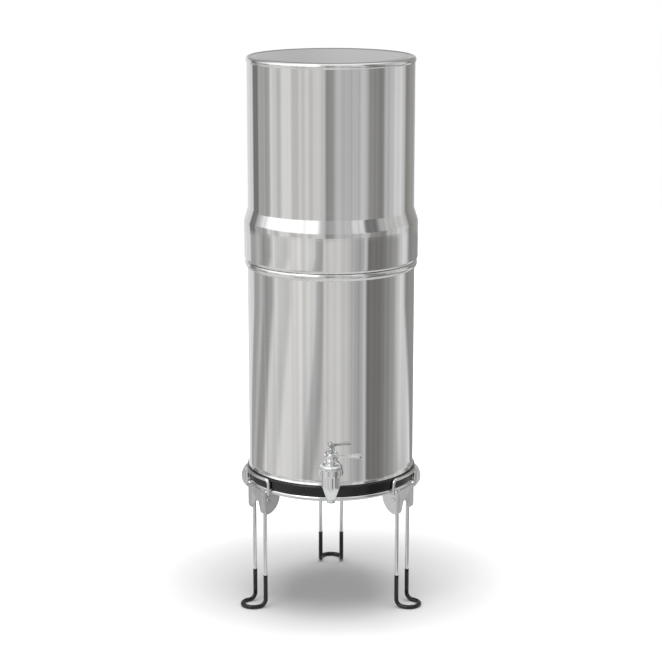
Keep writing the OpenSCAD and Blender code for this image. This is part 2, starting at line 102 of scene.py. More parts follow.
# %% Place the camera
PHOTO_SIDE, FOCAL_PIXELS = 662, 1971.6
TILT = math.radians(13.4)
CAMERA_BACK, CAMERA_UP = 2527.0, 965.0
camera_data = bpy.data.cameras.new("camera")
camera_data.sensor_width = 36
camera_data.lens = FOCAL_PIXELS / PHOTO_SIDE * camera_data.sensor_width
camera_data.clip_end = 100
camera = bpy.data.objects.new("camera", camera_data)
camera.location = (0.0, -CAMERA_BACK * MM, CAMERA_UP * MM)
camera.rotation_euler = (math.radians(90) - TILT, 0, 0)
bpy.context.scene.collection.objects.link(camera)
bpy.context.scene.camera = camera
bpy.context.scene.view_settings.view_transform = "Standard"
print("lens %.1f mm" % camera_data.lens)

# %% [markdown]
# ## The studio
# Polished steel has hardly any colour of its own: what shows on it is the room. Tall softboxes
# and dark flags stand round the object in such a studio, and a round wall squeezes them into
# upright light and dark streaks. The world shader draws them once, by the direction that a
# glossy ray leaves in. The camera itself sees a plain white room.

# %% Helpers for shader nodes
def add(tree, kind, values=None, **settings):
    """Adds one shader node and sets its properties; each input gets a socket or a value."""
    node = tree.nodes.new(kind)
    for key, value in settings.items():
        setattr(node, key, value)
    for key, value in (values or {}).items():
        if isinstance(value, bpy.types.NodeSocket):
            tree.links.new(value, node.inputs[key])
        else:
            node.inputs[key].default_value = value
    return node


def calc(tree, operation, *sides):
    """The result of one Math node."""
    return add(tree, "ShaderNodeMath", dict(enumerate(sides)), operation=operation).outputs[0]


def vector_calc(tree, operation, *sides):
    """The outputs of one Vector Math node: a vector, and for lengths and products a Value."""
    return add(tree, "ShaderNodeVectorMath", dict(enumerate(sides)), operation=operation).outputs


def ranged(tree, value, start, stop, low=0.0, high=1.0, step="LINEAR"):
    """Maps the span from start to stop onto low to high, and holds the ends."""
    return add(tree, "ShaderNodeMapRange", {
        "Value": value, "From Min": start, "From Max": stop, "To Min": low, "To Max": high},
        interpolation_type=step).outputs[0]


def band(tree, value, span):
    """0 at the first end of span and 1 at the second, with a soft step between."""
    return ranged(tree, value, *span, step="SMOOTHSTEP")


def blend(tree, share, first, second):
    """Mixes two colours; share goes from first to second."""
    return add(tree, "ShaderNodeMix", {0: share, 6: first, 7: second}, data_type="RGBA").outputs[2]


def choose(tree, share, first, second):
    """Mixes two shaders; share goes from first to second."""
    return add(tree, "ShaderNodeMixShader", {0: share, 1: first, 2: second}).outputs[0]


def noise(tree, vector, **values):
    """Noise at a place, from 0 to 1."""
    return add(tree, "ShaderNodeTexNoise", {"Vector": vector, **values}).outputs["Fac"]


def cleared(owner):
    """The empty node tree of a world or a material."""
    owner.use_nodes = True
    owner.node_tree.nodes.clear()
    return owner.node_tree


# %% Flags and softboxes, by azimuth
# Degrees from the camera's side, positive to the right, the brightness seen there and its tint.
COOL, WARM, BROWN = (0.99, 1.0, 0.997), (1.0, 0.988, 0.972), (1.0, 0.965, 0.92)
UPPER_STREAKS = [
    (-180, 0.54, COOL), (-166, 0.78, COOL), (-138, 0.76, COOL), (-132, 0.22, COOL),
    (-121, 0.22, COOL), (-116, 0.44, COOL), (-94, 0.42, WARM), (-90, 0.76, WARM),
    (-76, 0.58, WARM), (-68, 0.80, COOL), (-58, 0.80, WARM), (-52, 0.62, WARM),
    (-40, 0.66, WARM), (-35, 0.78, WARM), (-28, 0.62, WARM), (-17, 0.76, WARM),
    (-10, 0.62, WARM), (-6, 0.32, WARM), (1, 0.33, COOL), (7, 0.54, COOL),
    (28, 0.50, COOL), (46, 0.58, COOL), (51, 0.50, COOL), (55, 0.30, WARM),
    (74, 0.28, WARM), (80, 0.50, COOL), (106, 0.72, COOL), (119, 0.62, COOL),
    (126, 0.30, BROWN), (148, 0.36, BROWN), (168, 0.50, COOL), (180, 0.54, COOL),
]
LOWER_STREAKS = [
    (-180, 0.62, COOL), (-168, 0.80, COOL), (-148, 0.78, COOL), (-142, 0.42, COOL),
    (-134, 0.42, COOL), (-124, 0.54, COOL), (-115, 0.36, WARM), (-104, 0.38, WARM),
    (-94, 0.74, WARM), (-74, 0.62, COOL), (-64, 0.82, WARM), (-42, 0.78, WARM),
    (-31, 0.70, COOL), (-26, 0.50, COOL), (-15, 0.42, WARM), (-10, 0.64, WARM),
    (2, 0.72, WARM), (16, 0.64, WARM), (36, 0.42, COOL), (43, 0.44, COOL),
    (47, 0.60, COOL), (51, 0.20, BROWN), (66, 0.20, BROWN), (80, 0.27, WARM),
    (98, 0.40, WARM), (106, 0.64, COOL), (132, 0.76, COOL), (144, 0.30, WARM),
    (166, 0.32, WARM), (180, 0.62, COOL),
]
SHOULDER_STREAKS = [
    (-180, 0.30, COOL), (-150, 0.42, COOL), (-136, 0.22, COOL), (-122, 0.50, COOL),
    (-106, 1.05, COOL), (-86, 1.35, COOL), (-20, 1.35, COOL), (-13, 0.70, COOL),
    (-6, 0.40, COOL), (1, 0.44, COOL), (8, 0.58, COOL), (26, 0.56, COOL),
    (34, 0.76, COOL), (44, 0.74, COOL), (50, 0.22, COOL), (64, 0.20, WARM),
    (72, 0.52, COOL), (100, 0.60, WARM), (116, 0.56, WARM), (128, 0.40, BROWN),
    (146, 0.34, BROWN), (160, 0.34, WARM), (180, 0.30, COOL),
]
# Heights of a glossy ray's direction. The lower chamber's streaks change to the upper chamber's in
# the first span, those to the shoulder's in the second, and those to plain white in the third. In
# the last one the grey under the walls ends.
UPPER_SPAN, SHOULDER_SPAN, WHITE_SPAN = (-0.187, -0.181), (0.08, 0.26), (0.6, 0.85)
BELOW_SPAN, BELOW = (-0.7, -0.42), (0.7, 0.7, 0.7, 1)
# On the lower chamber the streaks at the sides lean outwards towards the foot. A lean is the share
# of a turn for each unit of height. It holds between two places in the turn, and each place has
# the span in which it sets in.
LEAN_LEFT, LEFT_SPANS = 0.85, ((0.49, 0.42), (0.01, 0.13))
LEAN_RIGHT, RIGHT_SPANS = 1.05, ((0.77, 0.84), (0.99, 0.86))
LEAN_LOW, UPRIGHT_AT, LEAN_HIGH = -0.34, -0.26, -0.2185
# A round lamp high on the left, which only glossy surfaces show.
SPOT_AT, SPOT_SPAN, SPOT_LEVEL = (-0.45, -0.45, 0.771), (0.955, 0.98), 2.2
# What lights the surfaces that aren't glossy, from all round.
GLOW = 0.34


# %% Build the studio
def streak_ramp(tree, turn, streaks):
    """A colour ramp over the whole turn, with one stop for each edge of a softbox or flag."""
    ramp = add(tree, "ShaderNodeValToRGB", {"Fac": turn})
    ramp.color_ramp.interpolation = "EASE"
    stops = ramp.color_ramp.elements
    while len(stops) > 1:
        stops.remove(stops[-1])
    for count, (degrees, level, tint) in enumerate(streaks):
        stop = stops[0] if count == 0 else stops.new((degrees + 180) / 360)
        stop.position = (degrees + 180) / 360
        stop.color = [level * share for share in tint] + [1]
    return ramp.outputs["Color"]


def build_studio():
    """Fills the world: white for the camera, streaks for glossy rays, an even glow for the rest."""
    world = bpy.data.worlds.new("studio")
    bpy.context.scene.world = world
    tree = cleared(world)
    direction = add(tree, "ShaderNodeTexCoord").outputs["Generated"]
    split = add(tree, "ShaderNodeSeparateXYZ", {0: direction}).outputs
    height = split["Z"]
    angle = calc(tree, "ARCTAN2", split["X"], calc(tree, "MULTIPLY", split["Y"], -1.0))
    turn = calc(tree, "ADD", calc(tree, "DIVIDE", angle, 2 * math.pi), 0.5)
    flat = vector_calc(tree, "MULTIPLY", direction, (1.0, 1.0, 0.0))[0]
    folds = noise(tree, vector_calc(tree, "NORMALIZE", flat)[0],
                  Scale=9.0, Detail=2.0, Roughness=0.6)
    ripple = ranged(tree, folds, 0.3, 0.7, 0.86, 1.12)
    depth = ranged(tree, height, LEAN_LOW, LEAN_HIGH,
                   LEAN_LOW - UPRIGHT_AT, LEAN_HIGH - UPRIGHT_AT)
    sides = [calc(tree, "MULTIPLY",
                  calc(tree, "MULTIPLY", band(tree, turn, first), band(tree, turn, second)), lean)
             for (first, second), lean in ((LEFT_SPANS, LEAN_LEFT), (RIGHT_SPANS, LEAN_RIGHT))]
    shift_round = calc(tree, "MULTIPLY", depth, calc(tree, "SUBTRACT", *sides))
    lower = streak_ramp(tree, calc(tree, "SUBTRACT", turn, shift_round), LOWER_STREAKS)
    walls = blend(tree, band(tree, height, UPPER_SPAN), lower,
                  streak_ramp(tree, turn, UPPER_STREAKS))
    around = blend(tree, band(tree, height, SHOULDER_SPAN), walls,
                   streak_ramp(tree, turn, SHOULDER_STREAKS))
    above = blend(tree, band(tree, height, WHITE_SPAN), around, (1.0, 1.0, 1.0, 1))
    room = blend(tree, band(tree, height, BELOW_SPAN), BELOW, above)
    toward_spot = vector_calc(tree, "DOT_PRODUCT", direction, SPOT_AT)["Value"]
    spot = calc(tree, "MULTIPLY", band(tree, toward_spot, SPOT_SPAN), SPOT_LEVEL)
    streaks, glow, white = [
        add(tree, "ShaderNodeBackground", {"Color": colour, "Strength": strength}).outputs[0]
        for colour, strength in ((room, calc(tree, "ADD", ripple, spot)),
                                 ((1, 1, 1, 1), GLOW), ((1, 1, 1, 1), 1.0))]
    path = add(tree, "ShaderNodeLightPath").outputs
    seen = choose(tree, path["Is Camera Ray"],
                  choose(tree, path["Is Glossy Ray"], glow, streaks), white)
    add(tree, "ShaderNodeOutputWorld", {"Surface": seen})


build_studio()
print("studio stops:", [len(s) for s in (UPPER_STREAKS, LOWER_STREAKS, SHOULDER_STREAKS)])

# %% [markdown]
# Two large soft lamps do the rest: one overhead gives the soft shadow under the stand, and a
# weak one from the front left lights the matt pieces. Polished metal shows the studio's streaks
# only, so both lamps are hidden from glossy rays.

# %% Lamps
def softbox(name, place, aim, size, power):
    """A rectangular area lamp at a place in metres, pointed at aim."""
    data = bpy.data.lights.new(name, "AREA")
    data.shape = "RECTANGLE"
    data.size, data.size_y = size
    data.energy = power
    lamp = bpy.data.objects.new(name, data)
    lamp.location = place
    lamp.rotation_euler = (Vector(aim) - Vector(place)).to_track_quat("-Z", "Y").to_euler()
    lamp.visible_glossy = False
    bpy.context.scene.collection.objects.link(lamp)


softbox("lamp_overhead", (0.0, -0.1, 2.6), (0, 0, 0), (2.1, 2.1), 50)
softbox("lamp_front_left", (-1.6, -1.9, 1.7), (0, 0, 0.3), (0.9, 1.4), 8)
print("lamps: 2")

# %% [markdown]
# ## The floor
# The floor is pale and catches the soft shadow. For the camera alone it glows towards the white of
# the room, so its far edge doesn't show. That lift is none near the object and grows with the
# distance, so it is also a painted shadow: it leaves the floor round the stand darker, a painted
# shade on top of the real shadow, and it sets where that shadow seems to lie and how far it reaches.
# Away from the object, glossy rays pass it by, so the walls reflect the softboxes down to their
# lower end.

# %% Make the floor
FLOOR_SIDE, FLOOR_COLOUR = 6.0, (0.9, 0.9, 0.9, 1)
# The middle and stretch of the painted shade, round which the camera's lift is left out, and the
# span of distances in which the lift grows from none to full.
PAINTED_SHADE_MIDDLE, PAINTED_SHADE_STRETCH = (0.0, 0.045, 0.0), (1.0, 1.15, 1.0)
LIFT_NEAR, LIFT_FAR, LIFT_FULL = 0.09, 0.53, 0.8
MIRROR_REACH = 0.24


def floor_finish():
    """A pale matt floor that meets the white room without an edge and has painted shade round the
    object.
    """
    material = bpy.data.materials.new("floor")
    tree = cleared(material)
    matt = add(tree, "ShaderNodeBsdfDiffuse", {"Color": FLOOR_COLOUR}).outputs[0]
    path = add(tree, "ShaderNodeLightPath").outputs
    place = add(tree, "ShaderNodeTexCoord").outputs["Object"]
    offset = vector_calc(tree, "SUBTRACT", place, PAINTED_SHADE_MIDDLE)[0]
    apart = vector_calc(tree, "LENGTH",
                        vector_calc(tree, "MULTIPLY", offset, PAINTED_SHADE_STRETCH)[0])["Value"]
    # No lift near the middle: this paints shade into the floor round the object.
    further = ranged(tree, apart, LIFT_NEAR, LIFT_FAR, 0.0, LIFT_FULL, "SMOOTHSTEP")
    lift = add(tree, "ShaderNodeEmission", {
        "Color": (1, 1, 1, 1), "Strength": calc(tree, "MULTIPLY", path["Is Camera Ray"], further)})
    lifted = add(tree, "ShaderNodeAddShader", {0: matt, 1: lift.outputs[0]}).outputs[0]
    far = calc(tree, "GREATER_THAN", vector_calc(tree, "LENGTH", place)["Value"], MIRROR_REACH)
    hidden = calc(tree, "MULTIPLY", far, path["Is Glossy Ray"])
    clear = add(tree, "ShaderNodeBsdfTransparent").outputs[0]
    add(tree, "ShaderNodeOutputMaterial", {"Surface": choose(tree, hidden, lifted, clear)})
    return material


bm = bmesh.new()
bmesh.ops.create_grid(bm, x_segments=1, y_segments=1, size=FLOOR_SIDE / 2)
mesh = bpy.data.meshes.new("floor")
bm.to_mesh(mesh)
bm.free()
mesh.materials.append(floor_finish())
floor = bpy.data.objects.new("floor", mesh)
bpy.context.scene.collection.objects.link(floor)
print("floor: %.0f m across" % FLOOR_SIDE)

# %% [markdown]
# ## Effects that several finishes share
# Three small effects come back in many of the finishes, so each is a node group with named
# sockets. *Spun grain* is the fine ring pattern that polishing on a lathe leaves. *Handling* is
# the faint unevenness of a surface that hands and cloths have touched. *Mottle* changes a colour
# a little from place to place, as casting, dipping and firing do.

# %% Build the node groups
def new_group(name, output, **inputs):
    """An empty group with a Vector input and the given ones, its input sockets and its end node."""
    group = bpy.data.node_groups.new(name, "ShaderNodeTree")
    group.interface.new_socket("Vector", in_out="INPUT", socket_type="NodeSocketVector")
    for label, value in inputs.items():
        kind = "NodeSocketColor" if isinstance(value, tuple) else "NodeSocketFloat"
        socket = group.interface.new_socket(label, in_out="INPUT", socket_type=kind)
        socket.default_value = value
    kind = "NodeSocketColor" if output == "Color" else "NodeSocketFloat"
    group.interface.new_socket(output, in_out="OUTPUT", socket_type=kind)
    end = group.nodes.new("NodeGroupOutput").inputs[output]
    return group, group.nodes.new("NodeGroupInput").outputs, end


def spun_grain_group():
    """Fine lines round the upright axis: noise squeezed along Z."""
    group, given, end = new_group("spun_grain", "Height", Lines=900.0, Length=12.0)
    split = add(group, "ShaderNodeSeparateXYZ", {0: given["Vector"]}).outputs
    squeezed = add(group, "ShaderNodeCombineXYZ", {
        axis: calc(group, "MULTIPLY", split[axis], given[rate])
        for axis, rate in (("X", "Length"), ("Y", "Length"), ("Z", "Lines"))}).outputs[0]
    group.links.new(noise(group, squeezed, Scale=1.0, Detail=3.0, Roughness=0.6), end)
    return group


def handling_group():
    """A soft mask for smears: large noise broken up by a finer one."""
    group, given, end = new_group("handling", "Value", Scale=18.0, Low=0.1, High=0.2)
    broad = noise(group, given["Vector"], Scale=given["Scale"], Detail=4.0, Roughness=0.55)
    fine = noise(group, given["Vector"], Scale=calc(group, "MULTIPLY", given["Scale"], 6.0),
                 Detail=2.0, Roughness=0.7)
    both = calc(group, "MULTIPLY", broad, calc(group, "ADD", fine, 0.5))
    group.links.new(ranged(group, both, 0.25, 0.8, given["Low"], given["High"]), end)
    return group


def mottle_group():
    """Mixes two colours by soft noise."""
    group, given, end = new_group("mottle", "Color", Scale=30.0, Light=(0.8, 0.8, 0.8, 1),
                                  Dark=(0.7, 0.7, 0.7, 1))
    soft = noise(group, given["Vector"], Scale=given["Scale"], Detail=5.0, Roughness=0.6)
    share = ranged(group, soft, 0.3, 0.7)
    group.links.new(blend(group, share, given["Dark"], given["Light"]), end)
    return group


SPUN_GRAIN, HANDLING, MOTTLE = spun_grain_group(), handling_group(), mottle_group()
print("node groups:", [g.name for g in bpy.data.node_groups])

# %% [markdown]
# ## Finishes
# One function wires the shared groups to a Principled shader. Each finish of the filter is then a
# row of values: its metallic, its two colours, how rough it is where it is clean and where it was
# touched, and how its surface is worked.

# %% Wire up one finish
def place_group(tree, group, vector, **values):
    """Places a node group, gives it its coordinates and values, and returns what it gives back."""
    node = tree.nodes.new("ShaderNodeGroup")
    node.node_tree = group
    tree.links.new(vector, node.inputs["Vector"])
    for key, value in values.items():
        node.inputs[key].default_value = value
    return node.outputs[0]


def finish(name, metallic, light, dark, rough, mottle, smear, grain, bump):
    """A material from the shared groups. rough is (clean, touched); grain is (lines, length)."""
    material = bpy.data.materials.new(name)
    material.use_nodes = True
    tree = material.node_tree
    shader = tree.nodes["Principled BSDF"].inputs
    shader["Metallic"].default_value = metallic
    vector = add(tree, "ShaderNodeTexCoord").outputs["Object"]
    tree.links.new(place_group(tree, MOTTLE, vector, Scale=mottle, Light=(*light, 1),
                               Dark=(*dark, 1)), shader["Base Color"])
    tree.links.new(place_group(tree, HANDLING, vector, Scale=smear, Low=rough[0], High=rough[1]),
                   shader["Roughness"])
    lines = place_group(tree, SPUN_GRAIN, vector, Lines=grain[0], Length=grain[1])
    relief = add(tree, "ShaderNodeBump", {"Height": lines, "Strength": bump, "Distance": 0.0002})
    tree.links.new(relief.outputs[0], shader["Normal"])
    return material


# %% The finishes
# Each row gives metallic, the light and the dark colour, the roughness clean and touched, the
# scales of the mottle and of the smears, the grain's lines and length, and how deep it looks.
FINISH = {name: finish(name, *row) for name, row in {
    "polished_steel": (1.0, (0.82, 0.82, 0.815), (0.78, 0.78, 0.775), (0.02, 0.05),
                       9.0, 14.0, (700.0, 9.0), 0.04),
    "brushed_inside": (1.0, (0.80, 0.80, 0.795), (0.74, 0.74, 0.735), (0.32, 0.42),
                       9.0, 14.0, (700.0, 9.0), 0.12),
    "satin_sheet": (1.0, (0.80, 0.81, 0.81), (0.70, 0.71, 0.71), (0.26, 0.4),
                    60.0, 60.0, (1600.0, 1600.0), 0.12),
    "chromed_wire": (1.0, (0.76, 0.77, 0.77), (0.69, 0.70, 0.70), (0.03, 0.08),
                     90.0, 90.0, (500.0, 500.0), 0.05),
    "chromed_brass": (1.0, (0.84, 0.85, 0.86), (0.78, 0.79, 0.8), (0.05, 0.12),
                      70.0, 70.0, (700.0, 700.0), 0.03),
    "weld_bead": (1.0, (0.62, 0.61, 0.59), (0.42, 0.41, 0.4), (0.25, 0.45),
                  500.0, 300.0, (900.0, 900.0), 0.5),
    "band_plastic": (0.0, (0.007, 0.007, 0.007), (0.005, 0.005, 0.005), (0.16, 0.28),
                     40.0, 40.0, (1200.0, 1200.0), 0.04),
    "dipped_vinyl": (0.0, (0.009, 0.009, 0.010), (0.006, 0.006, 0.007), (0.04, 0.07),
                     120.0, 120.0, (260.0, 260.0), 0.015),
    "fired_ceramic": (0.0, (0.93, 0.92, 0.88), (0.86, 0.84, 0.79), (0.75, 0.9),
                      120.0, 50.0, (2500.0, 2500.0), 0.6),
    "pressed_carbon": (0.0, (0.05, 0.05, 0.05), (0.03, 0.03, 0.03), (0.8, 0.95),
                       200.0, 90.0, (3000.0, 3000.0), 0.8),
    "pale_plastic": (0.0, (0.88, 0.90, 0.92), (0.83, 0.85, 0.88), (0.3, 0.45),
                     40.0, 60.0, (1500.0, 1500.0), 0.08),
    "seal_rubber": (0.0, (0.30, 0.30, 0.31), (0.24, 0.24, 0.25), (0.6, 0.8),
                    150.0, 80.0, (1800.0, 1800.0), 0.3),
}.items()}
SLOT_FINISH = {
    "polished_steel": "polished_steel", "plain_steel": "satin_sheet",
    "chrome_wire": "chromed_wire", "chrome_tap": "chromed_brass", "black_band": "band_plastic",
    "black_dip": "dipped_vinyl", "ceramic": "fired_ceramic", "carbon": "pressed_carbon",
    "pale_plastic": "pale_plastic", "seal_rubber": "seal_rubber",
}
NODE_SLOT = {s["node"]: s["material_slot"] for s in frame["record"]["subparts"]}
for label, node in nodes.items():
    node.data.materials.clear()
    node.data.materials.append(FINISH[SLOT_FINISH[NODE_SLOT[label]]])
print("finishes:", len(bpy.data.materials))

# %% [markdown]
# ## Helpers for shapes
# A piece starts as a bmesh. When its shape is done, one function merges what lies double, turns
# the faces outwards, makes it an object and hangs it on the body that carries it.

# %% From bmesh to piece
NODE_BODY = {n: b for b, ns in frame["record"]["behaviour"]["bodies"].items() for n in ns}
DOUBLE = 0.002 * MM


def shift(x, y, z):
    """The matrix of a move in millimetres."""
    return Matrix.Translation((x * MM, y * MM, z * MM))


def swing(degrees, axis="Z", size=4):
    """The matrix of a turn round an axis through the origin."""
    return Matrix.Rotation(math.radians(degrees), size, axis)


def round_edges(bm, edges, width, segments, **more):
    """Rounds edges over by width millimetres."""
    bmesh.ops.bevel(bm, geom=edges, offset=width * MM, offset_type="OFFSET", affect="EDGES",
                    segments=segments, profile=0.5, material=-1, **more)


def hard_edges(bm, degrees):
    """The edges at which the surface turns by more than the given angle."""
    return [e for e in bm.edges if e.calc_face_angle(0.0) > math.radians(degrees)]


def to_piece(name, bm, node, material=None, replace=True, sharp=32, turn=True):
    """Makes a named piece that rides with node's body and usually stands for it."""
    bmesh.ops.remove_doubles(bm, verts=bm.verts, dist=DOUBLE)
    if turn:
        bmesh.ops.recalc_face_normals(bm, faces=bm.faces)
    mesh = bpy.data.meshes.new(name)
    bm.to_mesh(mesh)
    bm.free()
    for face in mesh.polygons:
        face.use_smooth = True
    mesh.set_sharp_from_angle(angle=math.radians(sharp))
    mesh.materials.append(FINISH[material or SLOT_FINISH[NODE_SLOT[node]]])
    piece = bpy.data.objects.new(name, mesh)
    bpy.context.scene.collection.objects.link(piece)
    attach(piece, NODE_BODY[node])
    if replace:
        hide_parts(node)
    print("%s: %d faces" % (name, len(mesh.polygons)))
    return piece


# %% [markdown]
# Most pieces are turned. An outline of radii and heights is drawn in the plane y = 0 and spun
# once round the axis. The outline's curves are arcs of ovals or circles, so two small helpers
# give their points.

# %% Ovals and the lathe
CHAMBER_AXIS = shift(0, AXIS_Y, 0)


def oval(centre, rx, rz, start, stop, count=8):
    """Points of an arc of an oval, as (radius, height), from angle start to stop."""
    angles = [math.radians(start + (stop - start) * k / count) for k in range(count + 1)]
    return [(centre[0] + rx * math.cos(a), centre[1] + rz * math.sin(a)) for a in angles]


def arc(centre, radius, start, stop, count):
    """Points of an arc of a circle, as (radius, height)."""
    return oval(centre, radius, radius, start, stop, count)


def spin_round(bm, geom, steps):
    """Spins geometry once round the Z axis and closes it."""
    bmesh.ops.spin(bm, geom=geom, cent=(0, 0, 0), axis=(0, 0, 1), dvec=(0, 0, 0),
                   angle=2 * math.pi, steps=steps, use_merge=True, use_duplicate=False)


def lathe(outline, steps=256, place=CHAMBER_AXIS, bm=None):
    """Spins a closed outline of (radius, height) in millimetres round an axis.

    The matrix place puts the axis where it belongs. With bm given, the shape is added to it.
    """
    new = bmesh.new()
    points = [new.verts.new((r * MM, 0, z * MM)) for r, z in outline]
    edges = [new.edges.new(pair) for pair in zip(points, points[1:] + points[:1])
             if (pair[0].co - pair[1].co).length > 1e-9]
    spin_round(new, points + edges, steps)
    bmesh.ops.remove_doubles(new, verts=new.verts, dist=DOUBLE)
    bmesh.ops.transform(new, matrix=place, verts=new.verts)
    if bm is None:
        return new
    mesh = bpy.data.meshes.new("part")
    new.to_mesh(mesh)
    new.free()
    bm.from_mesh(mesh)
    bpy.data.meshes.remove(mesh)
    return bm


# %% [markdown]
# ## The lower chamber
# It is drawn from one sheet: a rolled rim at the top, an upright wall, a small radius and a flat
# floor. The rim is not round but heavier above than below, as a roll under a seaming wheel is.
# Just above the base ring the wall steps out by a millimetre, and that step shows as a bright line.
# Outside, both chambers are polished. Inside, they are left brushed.

# %% Brush the inside of a chamber
FLOOR_DEPTH = 30


def brush_inside(piece):
    """Gives the brushed finish to the faces that look at the axis and to the floor's top."""
    mesh = piece.data
    mesh.materials.append(FINISH["brushed_inside"])
    top = max(vert.co.z for vert in mesh.vertices)
    for face in mesh.polygons:
        out = Vector((face.center.x, face.center.y - AXIS_Y * MM, 0))
        inwards = face.normal.dot(out.normalized()) < -0.3
        on_floor = (face.normal.z > 0.5 and face.center.z < top - FLOOR_DEPTH * MM
                    and out.length < (LOWER_R - SHEET) * MM)
        if inwards or on_floor:
            face.material_index = 1


# %% Turn the lower chamber
BEAD_H, BEAD_SHARE = 9.2, 0.42
CORNER_R = 8.0
STEP_OUT, STEP_H = 1.15, 3.3
LOWER_MIDDLE = 330.0
inner = LOWER_R - SHEET
middle = (inner + BEAD_R) / 2
bead_mid = RIM_Z - BEAD_H * BEAD_SHARE
corner = (LOWER_R - CORNER_R, BASE_Z + CORNER_R)
outline = (
    oval((middle, RIM_Z - 2.2), middle - inner, 2.2, 180, 90, 8)
    + oval((middle, bead_mid), BEAD_R - middle, RIM_Z - bead_mid, 90, 0, 12)[1:]
    + oval((LOWER_R, bead_mid), BEAD_R - LOWER_R, BEAD_H - RIM_Z + bead_mid, 0, -90, 12)[1:]
    + [(LOWER_R, RIM_Z - BEAD_H - 3), (LOWER_R, LOWER_MIDDLE), (LOWER_R, BAND_TOP + 7),
       (LOWER_R, BAND_TOP + STEP_H),
       (LOWER_R + 0.1, BAND_TOP + 2.9), (LOWER_R + STEP_OUT - 0.1, BAND_TOP + 0.8),
       (LOWER_R + STEP_OUT, BAND_TOP + 0.5), (LOWER_R + STEP_OUT - 0.2, BAND_TOP + 0.25),
       (LOWER_R, BAND_TOP + 0.2)]
    + arc(corner, CORNER_R, 0, -90, 10)
    + [(0, BASE_Z), (0, BASE_Z + SHEET)]
    + arc(corner, CORNER_R - SHEET, -90, 0, 10)
    + [(inner, LOWER_MIDDLE)])
brush_inside(to_piece("lower_chamber_wall", lathe(outline), "lower_chamber"))

# %% [markdown]
# ## The upper chamber
# Its skirt hides the joint: the wall flares out, runs down over the rim, curls in and goes on as
# a narrower spigot that drops into the lower chamber. All of it is one sheet of even thickness,
# so the inner line follows the outer one.

# %% Turn the upper chamber
SKIRT_H, FLARE_H = 49.2, 18.8
CURL_R, CURL_H = 3.1, 4.4
SPIGOT_GAP, SPIGOT_BEND = 0.9, 4
UPPER_MIDDLE = 650.0
skirt_top, flare_top = SEAT_Z + SKIRT_H, SEAT_Z + SKIRT_H + FLARE_H
spigot_r = LOWER_R - SHEET - SPIGOT_GAP
bend = (spigot_r - SPIGOT_BEND, SPIGOT_Z + SPIGOT_BEND)
curl = (SKIRT_R - CURL_R, SEAT_Z + CURL_H)


def bent(before, corner, after, count=6):
    """Points of a small even bend at a corner of the outline."""
    points = []
    for k in range(count + 1):
        t = k / count
        points.append(tuple(a * (1 - t) ** 2 + 2 * b * t * (1 - t) + c * t * t
                            for a, b, c in zip(before, corner, after)))
    return points


def flare(inset):
    """The straight slope between wall and skirt, with a small bend at each end."""
    foot = skirt_top + 2.2
    share = 1.3 / (flare_top - foot)
    top, low = (UPPER_R - inset, flare_top), (SKIRT_R - inset, foot)
    near_top = tuple(a + (b - a) * share for a, b in zip(top, low))
    near_low = tuple(b + (a - b) * share * 1.6 for a, b in zip(top, low))
    return (bent((top[0], flare_top + 1.3), top, near_top)
            + bent(near_low, low, (low[0], foot - 2.1)) + [(low[0], foot - 6)])


outline = (
    [(UPPER_R, TOP_Z), (UPPER_R, UPPER_MIDDLE), (UPPER_R, flare_top + 6)] + flare(0)
    + oval(curl, CURL_R, CURL_H, 0, -90, 12) + [(spigot_r, SEAT_Z)]
    + arc(bend, SPIGOT_BEND, 0, -90, 6) + [(0, SPIGOT_Z), (0, SPIGOT_Z + SHEET)]
    + arc(bend, SPIGOT_BEND - SHEET, -90, 0, 6)
    + [(spigot_r - SHEET, SEAT_Z + SHEET)]
    + oval(curl, CURL_R - SHEET, CURL_H - SHEET, -90, 0, 12)
    + flare(SHEET)[::-1] + [(UPPER_R - SHEET, TOP_Z)])
brush_inside(to_piece("upper_chamber_wall", lathe(outline), "upper_chamber"))

# %% [markdown]
# ## The lid
# A lid of this kind is pressed. The flat middle ends in a shallow groove, the rim rises from it as
# a half-round bead, and the bead's lower edge turns in to the wall, so no sharp edge shows.

# %% Turn the lid
GROOVE_DEEP, GROOVE_IN = 0.75, 4.1
RIM_BEAD, LID_GAP = 3.4, 0.3
low, high = corners("lid")
lid_r = (high[0] - low[0]) / 2
top, edge = high[2], low[2]
inner = UPPER_R + LID_GAP
half = (top - edge) / 2
centre = (lid_r - RIM_BEAD, top - half)
groove = centre[0] - GROOVE_IN
outline = (
    [(0, top - 0.2), (groove - 12, top - 0.2), (groove - 7, top - 0.22),
     (groove - 4, top - 0.36), (groove - 1.5, top - GROOVE_DEEP + 0.06),
     (groove, top - GROOVE_DEEP), (groove + 1.3, top - 0.58), (groove + 2.6, top - 0.2)]
    + oval(centre, RIM_BEAD, half, 90, -42, 24)
    + [(inner + 0.1, centre[1] - half * 0.72), (inner, centre[1] - half * 0.62)]
    + oval(centre, inner - centre[0], half - 1, 0, 90, 14)
    + [(groove + 1.3, top - 1.6), (groove, top - GROOVE_DEEP - 0.9),
       (groove - 4, top - 1.3), (groove - 12, top - 1.1), (0, top - 1.1)])
to_piece("lid_pressing", lathe(outline), "lid")

# %% [markdown]
# ## The base ring
# A moulded black ring protects the foot of the lower chamber. Its lip lies under the chamber and
# its wall stands against it, with a rounded top edge that catches the light.

